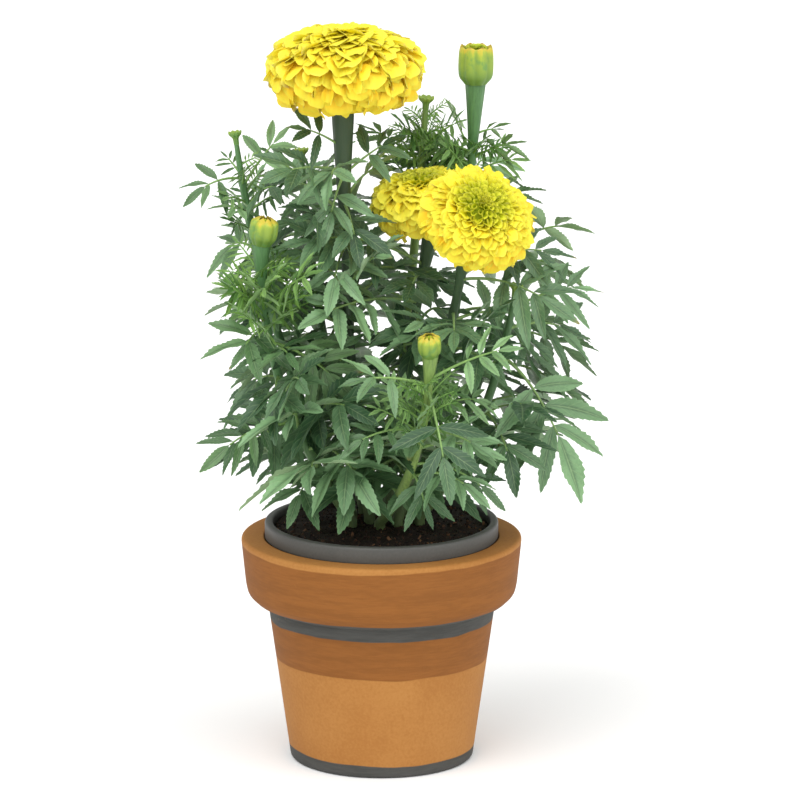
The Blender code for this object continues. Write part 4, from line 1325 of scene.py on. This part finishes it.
def clay_pot(finish):
    body_top = POT_HEIGHT - BAND_HEIGHT
    profile = [
        (0, 0, 0),
        (FOOT_RADIUS, 0, 1.6),
        (BODY_TOP_RADIUS, body_top, 0.8),
        *[(BAND_LOW_RADIUS - inward, body_top + up, 1.6) for inward, up in BAND_ROUNDING],
        (BAND_TOP_RADIUS, POT_HEIGHT, 2.4),
        (MOUTH_RADIUS, POT_HEIGHT, 0.8),
        (LEDGE_RADIUS, body_top, 2),
        (FLOOR_RADIUS, FLOOR_HEIGHT, 2.5),
        (0, FLOOR_HEIGHT, 0),
    ]
    pot = turned("painted_pot", rounded(profile), POT_STEPS, finish, POT_WOBBLE)
    drills = bpy.data.collections.new("drills")
    bpy.context.scene.collection.children.link(drills)
    for k in range(DRAIN_HOLES):
        angle = TURN * k / DRAIN_HOLES
        bpy.ops.mesh.primitive_cylinder_add(
            vertices=32, radius=DRAIN_RADIUS * MM, depth=4 * FLOOR_HEIGHT * MM,
            location=(DRAIN_CIRCLE * MM * math.cos(angle), DRAIN_CIRCLE * MM * math.sin(angle), 0),
        )
        drill = bpy.context.object
        for home in list(drill.users_collection):
            home.objects.unlink(drill)
        drills.objects.link(drill)
    cut = pot.modifiers.new("drain_holes", "BOOLEAN")
    cut.operation = "DIFFERENCE"
    cut.operand_type = "COLLECTION"
    cut.collection = drills
    cut.solver = "EXACT"
    graph = bpy.context.evaluated_depsgraph_get()
    made = bpy.data.meshes.new_from_object(pot.evaluated_get(graph))
    pot.modifiers.clear()
    pot.data = made
    for drill in list(drills.objects):
        bpy.data.objects.remove(drill)
    bpy.data.collections.remove(drills)
    keep(pot, "clay_pot")


def liner_radius(height):
    return LINER_FOOT_RADIUS + LINER_FLARE * (height - FLOOR_HEIGHT)


def grower_pot(finish):
    low = FLOOR_HEIGHT + GAP
    neck = LINER_HEIGHT - LINER_RIM_DEPTH
    profile = [
        (0, low, 0),
        (liner_radius(low), low, 1.2),
        (liner_radius(neck), neck, 0.4),
        (LINER_RIM_RADIUS, neck, 0.5),
        (LINER_RIM_RADIUS, LINER_HEIGHT, 1.6),
        (LINER_RIM_INNER, LINER_HEIGHT, 1.2),
        (liner_radius(neck) - LINER_WALL, neck, 0.8),
        (liner_radius(low) - LINER_WALL, low + LINER_WALL, 1),
        (0, low + LINER_WALL, 0),
    ]
    liner = turned("charcoal_liner", rounded(profile), LINER_STEPS, finish, LINER_WOBBLE)
    keep(liner, "grower_pot")


def compost_place(place, radius):
    """A place on the compost's uneven top, over or under the one given."""
    edge = liner_radius(COMPOST_EDGE_HEIGHT)
    height = COMPOST_EDGE_HEIGHT + COMPOST_MOUND * (1 - (radius / edge) ** 2)
    clods = noise.fractal(place * 90, 0.9, 2.2, 4) * CLOD_HEIGHT
    return Vector((place.x, place.y, (height + clods) * MM))


def compost(tree, finishes):
    low = FLOOR_HEIGHT + LINER_WALL + 2 * GAP
    inset = LINER_WALL + 2 * GAP
    shoulder = COMPOST_EDGE_HEIGHT - COMPOST_SHOULDER
    edge = liner_radius(shoulder) - inset
    rows = [
        ring(UP * height * MM, UP, radius * MM, COMPOST_STEPS)
        for radius, height in ((liner_radius(low) - inset, low), (edge, shoulder))
    ]
    for k in range(COMPOST_RINGS):
        radius = (edge - GAP) * (1 - k / COMPOST_RINGS)
        flat = ring(Vector(), UP, radius * MM, COMPOST_STEPS)
        rows.append([compost_place(place, radius) for place in flat])
    cloud = Cloud()
    cloud.skin(rows, [(0.5, 0.5, 0.0)] * len(rows))
    piece = grown(
        "crumbly_compost", cloud.mesh("compost"), tree,
        Crumbs=CRUMBS, Chips=CHIPS, Crumb_Size=CRUMB_SIZE * MM, Chip_Size=CHIP_SIZE * MM, Seed=3,
        Soil=finishes["soil"], Bark=finishes["bark"],
    )
    keep(piece, "compost")


def mottle_group():
    """Soft patches and fine grain in one value round 0.5."""
    inputs = {"Vector": ["Place"], "Float": ["Patch Scale", "Grain Scale", "Grain Share"]}
    make, given, ends = new_tree(Maker, "mottle", "ShaderNodeTree", inputs, {"Float": ["Mask"]})
    broad = make.add("ShaderNodeTexNoise", Vector=given["Place"], Scale=given["Patch Scale"])
    fine = make.add("ShaderNodeTexNoise", Vector=given["Place"], Scale=given["Grain Scale"], Detail=4.0)
    feed(make.tree, ends["Mask"], broad + (fine - broad) * given["Grain Share"])
    return make.tree


def vein_group():
    """A blade's midrib, its side veins that run up to the edge, and the height that they stand out."""
    inputs = {"Vector": ["Blade"], "Float": ["Pairs", "Slant", "Midrib"]}
    outputs = {"Float": ["Midrib", "Veins", "Height"]}
    make, given, ends = new_tree(Maker, "veins", "ShaderNodeTree", inputs, outputs)
    length, across, _ = given["Blade"].parts()
    away = across.size()
    midrib = 1 - away.ramp(given["Midrib"] * 0.4, given["Midrib"])
    line = ((length * given["Pairs"] - away * given["Slant"]).through("FRACT") - 0.5).size()
    veins = (1 - line.ramp(0.03, 0.14)) * away.ramp(0.0, 0.1) * (1 - away.ramp(0.7, 1.0))
    feed(make.tree, ends["Midrib"], midrib)
    feed(make.tree, ends["Veins"], veins)
    feed(make.tree, ends["Height"], midrib * 1.2 + veins * 0.7)
    return make.tree


class Finish(Maker):
    """A material under construction: its node tree, its shader and the mottle that all finishes share."""

    def __init__(self, name, mottle, **constants):
        self.material = bpy.data.materials.new(name)
        self.material.use_nodes = True
        super().__init__(self.material.node_tree)
        self.shader = self.tree.nodes["Principled BSDF"]
        self.mottle = mottle
        for label, value in constants.items():
            self.shader.inputs[label.replace("_", " ")].default_value = value

    def attribute(self, name):
        return self.add("ShaderNodeAttribute", "Vector", attribute_name=name)

    def place(self):
        return self.add("ShaderNodeTexCoord", "Object")

    def effect(self, group, **values):
        """All that a shared effect puts out for its values."""
        return self.add("ShaderNodeGroup", node_tree=group, **values).siblings()

    def patches(self, patch_scale, grain_scale, grain_share, place=None):
        return self.effect(
            self.mottle, Place=place or self.place(),
            Patch_Scale=patch_scale, Grain_Scale=grain_scale, Grain_Share=grain_share,
        )[0]

    def mixed(self, low, high, share):
        """A colour between two, each a wire or a six-digit code."""
        low, high = (paint(colour) if isinstance(colour, str) else colour for colour in (low, high))
        return self.add("ShaderNodeMix", 2, data_type="RGBA", Factor=share, A=low, B=high)

    def layered(self, colour, *layers):
        """A colour under layers of others, each with its share."""
        for over, share in layers:
            colour = self.mixed(colour, over, share)
        return colour

    def bump(self, height, strength, distance):
        return self.add("ShaderNodeBump", Height=height, Strength=strength, Distance=distance)

    def set(self, **wires):
        for label, wire in wires.items():
            feed(self.tree, self.shader.inputs[label.replace("_", " ")], wire)
        return self.material


def leaf_finish(mottle, veins):
    """Dull green blades with veins, paler underneath, brighter while young, with painted shade in the crease
    beside the midrib, and a few dry tips.
    """
    finish = Finish("leaf_green", mottle, Roughness=0.4, Specular_IOR_Level=0.5)
    blade = finish.attribute("blade")
    length, across, side = blade.parts()
    age, shade, chance = finish.attribute("tone").parts()
    midrib, lines, height = finish.effect(veins, Blade=blade, Pairs=7.0, Slant=1.6, Midrib=0.09)
    patches = finish.patches(70.0, 900.0, 0.4)
    away = across.size()
    young = finish.mixed("49772C", "80A948", shade)
    upper = finish.layered(
        finish.mixed(young, finish.mixed("2C4E2E", "7AA070", shade), age.ramp(0.05, 0.75)),
        ("27452B", (patches - 0.5).most(0.0) * 1.8),
        # Painted shade in the crease along both sides of the midrib
        ("24402A", (1 - away.ramp(0.05, 0.36)) * (1 - midrib * 0.6) * 0.5),
        ("96B27B", midrib * 0.28 + lines * 0.16),
        ("7FA173", away.ramp(0.86, 1.0) * 0.35),
    )
    lower = finish.mixed(finish.mixed("6E8F68", "8DA982", shade), "A9BF90", midrib * 0.7 + lines * 0.3)
    lower = finish.mixed(finish.mixed(young, lower, 0.4), lower, age)
    colour = finish.mixed(lower, upper, side.ramp(-0.02, 0.02))
    colour = finish.mixed(colour, "8A7A3E", chance.above(0.965) * length.ramp(0.8, 1.0) * 0.8)
    return finish.set(
        Base_Color=colour, Roughness=0.36 + patches * 0.22 - lines * 0.05,
        Normal=finish.bump(height * side.ramp(-1, 1) + patches * 0.5, 0.35, 0.0004),
    )


def stalk_finish(mottle):
    """Streaked stems, with the leaves' paler ribs told apart by a share of 1 or less."""
    finish = Finish("stalk_green", mottle, Roughness=0.5, Specular_IOR_Level=0.4)
    age, _, share = finish.attribute("tone").parts()
    streaks = finish.patches(900.0, 2600.0, 0.4, finish.place() * (1.0, 1.0, 0.08))
    stem = finish.layered(
        finish.mixed("40523A", "5B8752", age.ramp(0.0, 0.7)),
        ("88A556", age.ramp(0.8, 1.0)),
        ("5D6F42", (share - 1).ramp(0.55, 1.0)),
    )
    colour = finish.mixed(finish.mixed("79A84C", "8CAB68", age), stem, share.above(1.01))
    colour = finish.mixed(colour, "2E4A2E", (streaks - 0.4).most(0.0) * 1.6)
    return finish.set(
        Base_Color=colour, Roughness=0.45 + streaks * 0.2, Normal=finish.bump(streaks, 0.3, 0.0003)
    )


def cup_finish(mottle):
    """Green cups that turn yellow towards a brown-tipped rim, with painted shade in the furrows between the
    ribs, and darker blots.
    """
    finish = Finish("bud_green", mottle, Roughness=0.48, Specular_IOR_Level=0.4)
    height, rib, point = finish.attribute("tone").parts()
    patches = finish.patches(420.0, 1500.0, 0.3, finish.place() * (1.0, 1.0, 0.2))
    blots = finish.patches(150.0, 600.0, 0.3)
    peak = height + point * 0.1
    colour = finish.layered(
        finish.mixed("6A8C3C", "8DA540", height.ramp(0.05, 0.6)),
        ("5B8E4E", blots.ramp(0.48, 0.68) * 0.7),
        ("B0BF3A", (height + (patches - 0.5) * 0.9).ramp(0.62, 1.0) * 0.8),
        # Painted shade in the furrows between the ribs
        ("55783A", (1 - rib) * 0.3),
        ("D2AE3A", (peak + (patches - 0.5) * 0.6).ramp(0.86, 1.04) * 0.65),
        ("7A4A1E", peak.ramp(1.04, 1.1) * 0.8),
    )
    return finish.set(
        Base_Color=colour, Roughness=0.42 + patches * 0.2,
        Normal=finish.bump(patches + rib * 0.5, 0.3, 0.0004),
    )


def petal_finish(name, mottle, veins, young=False):
    """Lemon petals, a richer gold at their roots and streaked lengthways, and greener in the middle of a
    head; painted shade makes the underside of a head more orange, and painted light brightens the roots at
    its top and whole heads that others shade.
    """
    finish = Finish(
        name, mottle, Roughness=0.6, Specular_IOR_Level=0.25, Subsurface_Weight=0.15,
        Subsurface_Scale=0.004, Subsurface_Radius=(1.0, 0.75, 0.15),
    )
    blade = finish.attribute("blade")
    length, across, _ = blade.parts()
    green, shade, low = finish.attribute("tone").parts()
    height = finish.effect(veins, Blade=blade, Pairs=2.0, Slant=5.0, Midrib=0.3)[2]
    patches = finish.patches(160.0, 1400.0, 0.35)
    streak = (across * 26 + patches * 3).sin() * 0.5 + 0.5
    # The roots are gold low on a head; at its top, painted light makes them brighter than the rims against
    # the shade between the petals. The shade value adds a head's painted light to roots and rims.
    root_gold_and_painted_light = finish.mixed("FFF02C", finish.mixed("FFCC26", "FFEC40", shade * 0.4), low.ramp(0.15, 0.5))
    light = finish.mixed("E6DA34", "FFF750", shade * 0.4)
    # Lower on a head the root colour reaches further out: painted shade on the underside
    rise = length - low * 0.3 + (patches - 0.5) * 0.3
    colour = finish.mixed(root_gold_and_painted_light, light, rise.ramp(0.36, 0.8))
    # Lengthways streaks, and painted shade in orange on the head's underside
    colour = finish.mixed(colour, "EFC424", streak * 0.1 + low.ramp(0.5, 0.85) * 0.4)
    if young:
        colour = finish.mixed(colour, "A3B732", 1.4 - length * 0.7)
    colour = finish.mixed(colour, "B2C61E", green * (1.4 - length).least(1.0))
    return finish.set(
        Base_Color=colour, Roughness=0.5 + patches * 0.2,
        Normal=finish.bump(streak * 0.6 + height * 0.3 + patches * 0.4, 0.3, 0.0003),
    )


def core_finish(mottle):
    """The closed middle of a head: yellow, and green where the youngest florets stand."""
    finish = Finish("flower_core", mottle, Roughness=0.7, Specular_IOR_Level=0.2)
    green = finish.attribute("tone").parts()[0]
    patches = finish.patches(200.0, 1200.0, 0.5)
    colour = finish.mixed(finish.mixed("F0CC24", "F8DC34", patches.ramp(0.3, 0.7)), "9DBB2A", green)
    return finish.set(Base_Color=colour, Normal=finish.bump(patches, 0.5, 0.0004))


def plastic_finish(mottle):
    """Moulded plastic in two close greys, with a fine grain that stands out."""
    finish = Finish("charcoal_plastic", mottle, Roughness=0.5)
    patches = finish.patches(40.0, 900.0, 0.55)
    colour = finish.mixed("4A4A47", "53534F", patches.ramp(0.3, 0.7))
    return finish.set(
        Base_Color=colour, Roughness=0.4 + patches * 0.2, Normal=finish.bump(patches, 0.5, 0.0002)
    )


def soil_finish(name, mottle, low, high):
    """Crumbs in two browns, each crumb with a chance of its own."""
    finish = Finish(name, mottle, Roughness=0.9, Specular_IOR_Level=0.3)
    chance = finish.attribute("tone").parts()[0]
    patches = finish.patches(260.0, 1500.0, 0.5)
    colour = finish.mixed(low, high, (chance + (patches - 0.5)).ramp(0.3, 1.1))
    return finish.set(
        Base_Color=colour, Roughness=0.8 + patches * 0.15, Normal=finish.bump(patches, 0.8, 0.0006)
    )


def pot_finish(mottle):
    """Painted clay: tan, with brown painted shade on the rim's band and painted shadow of the rim on the body
    under it, and charcoal lines, the one under the rim partly painted shade in its crevice, whose edges waver
    as a brush's do.
    """
    finish = Finish("painted_clay", mottle, Roughness=0.75, Specular_IOR_Level=0.3)
    place = finish.place()
    x, y, z = place.parts()
    level = z * 1000 + (finish.patches(16.0, 60.0, 0.25, place) - 0.5) * EDGE_WAVER
    clay = finish.patches(34.0, 700.0, 0.5, place)
    strokes = finish.patches(26.0, 130.0, 0.5, place * (1.0, 1.0, 9.0))
    reach = finish.vector(x, y, 0.0).length() * 1000
    under_band = (z * -1000).above(-(POT_HEIGHT - BAND_HEIGHT + 2))
    outside = reach.above(MOUTH_RADIUS - 0.4).most(under_band)

    def over(edge):
        """Rises from 0 under a painted edge to 1 over it."""
        return level.ramp(edge - EDGE_SOFTNESS, edge + EDGE_SOFTNESS)

    brown = finish.mixed("7F4D1C", "8A5521", strokes.ramp(0.35, 0.65))
    charcoal = finish.mixed("40403D", "4B4B48", strokes.ramp(0.35, 0.65))
    colour = finish.layered(
        finish.mixed("A06A30", "AB763B", clay.ramp(0.35, 0.65)),
        # Brown painted shade on the rim's band, and painted shadow of the rim on the body under it
        (brown, over(RIM_SHADOW_LOW) * (1 - over(SHADED_RIM_TOP))),
        # A charcoal line under the rim: partly a painted line, partly painted shade in the crevice under the
        # rim
        (charcoal, over(EDGE_LINE_AND_SHADE_LOW) * (1 - over(EDGE_LINE_AND_SHADE_TOP))),
        (charcoal, 1 - over(FOOT_LINE_TOP)),
    )
    colour = finish.mixed("A06D3C", colour, outside)
    colour = finish.mixed(colour, "C0925A", (clay - 0.62).most(0.0) * 1.4)
    return finish.set(
        Base_Color=colour, Roughness=0.66 + clay * 0.2,
        Normal=finish.bump(clay * 0.6 + strokes * 0.5, 0.25, 0.0006),
    )


def floor_finish(mottle):
    finish = Finish("studio_floor", mottle, Roughness=0.7, Specular_IOR_Level=0.1)
    return finish.set(Base_Color=finish.mixed("F4F4F3", "F8F8F7", finish.patches(3.0, 90.0, 0.3)))


def studio(mottle):
    """A plain pale floor, soft light from the front and above, and the camera at the photograph's view."""
    bpy.ops.mesh.primitive_plane_add(size=FLOOR_SIZE, location=(0, 0, -0.0002))
    floor = bpy.context.object
    floor.name = "studio_floor"
    floor.data.materials.append(floor_finish(mottle))

    scene = bpy.context.scene
    scene.view_settings.view_transform = "Standard"
    scene.world = bpy.data.worlds.new("studio")
    scene.world.use_nodes = True
    back = scene.world.node_tree.nodes["Background"]
    back.inputs["Color"].default_value = (1, 1, 1, 1)
    back.inputs["Strength"].default_value = WORLD_LIGHT

    for name, spread, rise, turn, power in SUNS:
        lamp = bpy.data.lights.new(name, "SUN")
        lamp.angle = math.radians(spread)
        lamp.energy = power
        holder = bpy.data.objects.new(name, lamp)
        holder.rotation_euler = (math.radians(90 - rise), 0, math.radians(turn))
        scene.collection.objects.link(holder)

    camera = bpy.data.objects.new("camera", bpy.data.cameras.new("camera"))
    camera.data.lens = CAMERA_LENS
    camera.data.sensor_width = SENSOR_WIDTH
    rise = math.radians(CAMERA_ELEVATION)
    camera.location = Vector(CAMERA_TARGET) + Vector((0, -math.cos(rise), math.sin(rise))) * CAMERA_DISTANCE
    camera.rotation_euler = (math.pi / 2 - rise, 0, 0)
    scene.collection.objects.link(camera)
    scene.camera = camera


def main():
    mottle, veins = mottle_group(), vein_group()
    finishes = {
        "leaf": leaf_finish(mottle, veins),
        "stalk": stalk_finish(mottle),
        "cup": cup_finish(mottle),
        "petal": petal_finish("petal_yellow", mottle, veins),
        "young_petal": petal_finish("young_petal", mottle, veins, young=True),
        "core": core_finish(mottle),
        "soil": soil_finish("damp_soil", mottle, "15100C", "4A3526"),
        "bark": soil_finish("bark_chips", mottle, "33231A", "7A5A40"),
    }
    clay_pot(pot_finish(mottle))
    grower_pot(plastic_finish(mottle))
    compost(crumb_tree(), finishes)

    sprig, petals = sprig_tree(), petal_tree()
    skins = [skin_of(node) for node in ("clay_pot", "grower_pot", "compost")]
    skins += [skin_of("bloom_" + name.split("_")[0]) for name in BLOOMS]
    parts = {name: leafy_stem(name, stem) for name, stem in STEMS.items()}
    taken = [Vector()]
    taken += [place for _, leaves in parts.values() for leaf in leaves for place in leaf.middles()]
    for name, stem in STEMS.items():
        cloud, leaves = parts[name]
        leaves += filling_leaves(name, stem, skins, taken)
        if "ferns" in stem:
            leaves += young_leaves(name, stem, skins)
        stem_piece(name, stem, sprig, finishes, cloud, leaves)
    for name, bloom in BLOOMS.items():
        bloom_piece(name, bloom, petals, finishes)
    for name, bud in BUDS.items():
        tuft_piece(name, bud, petals, finishes)
    studio(mottle)


main()
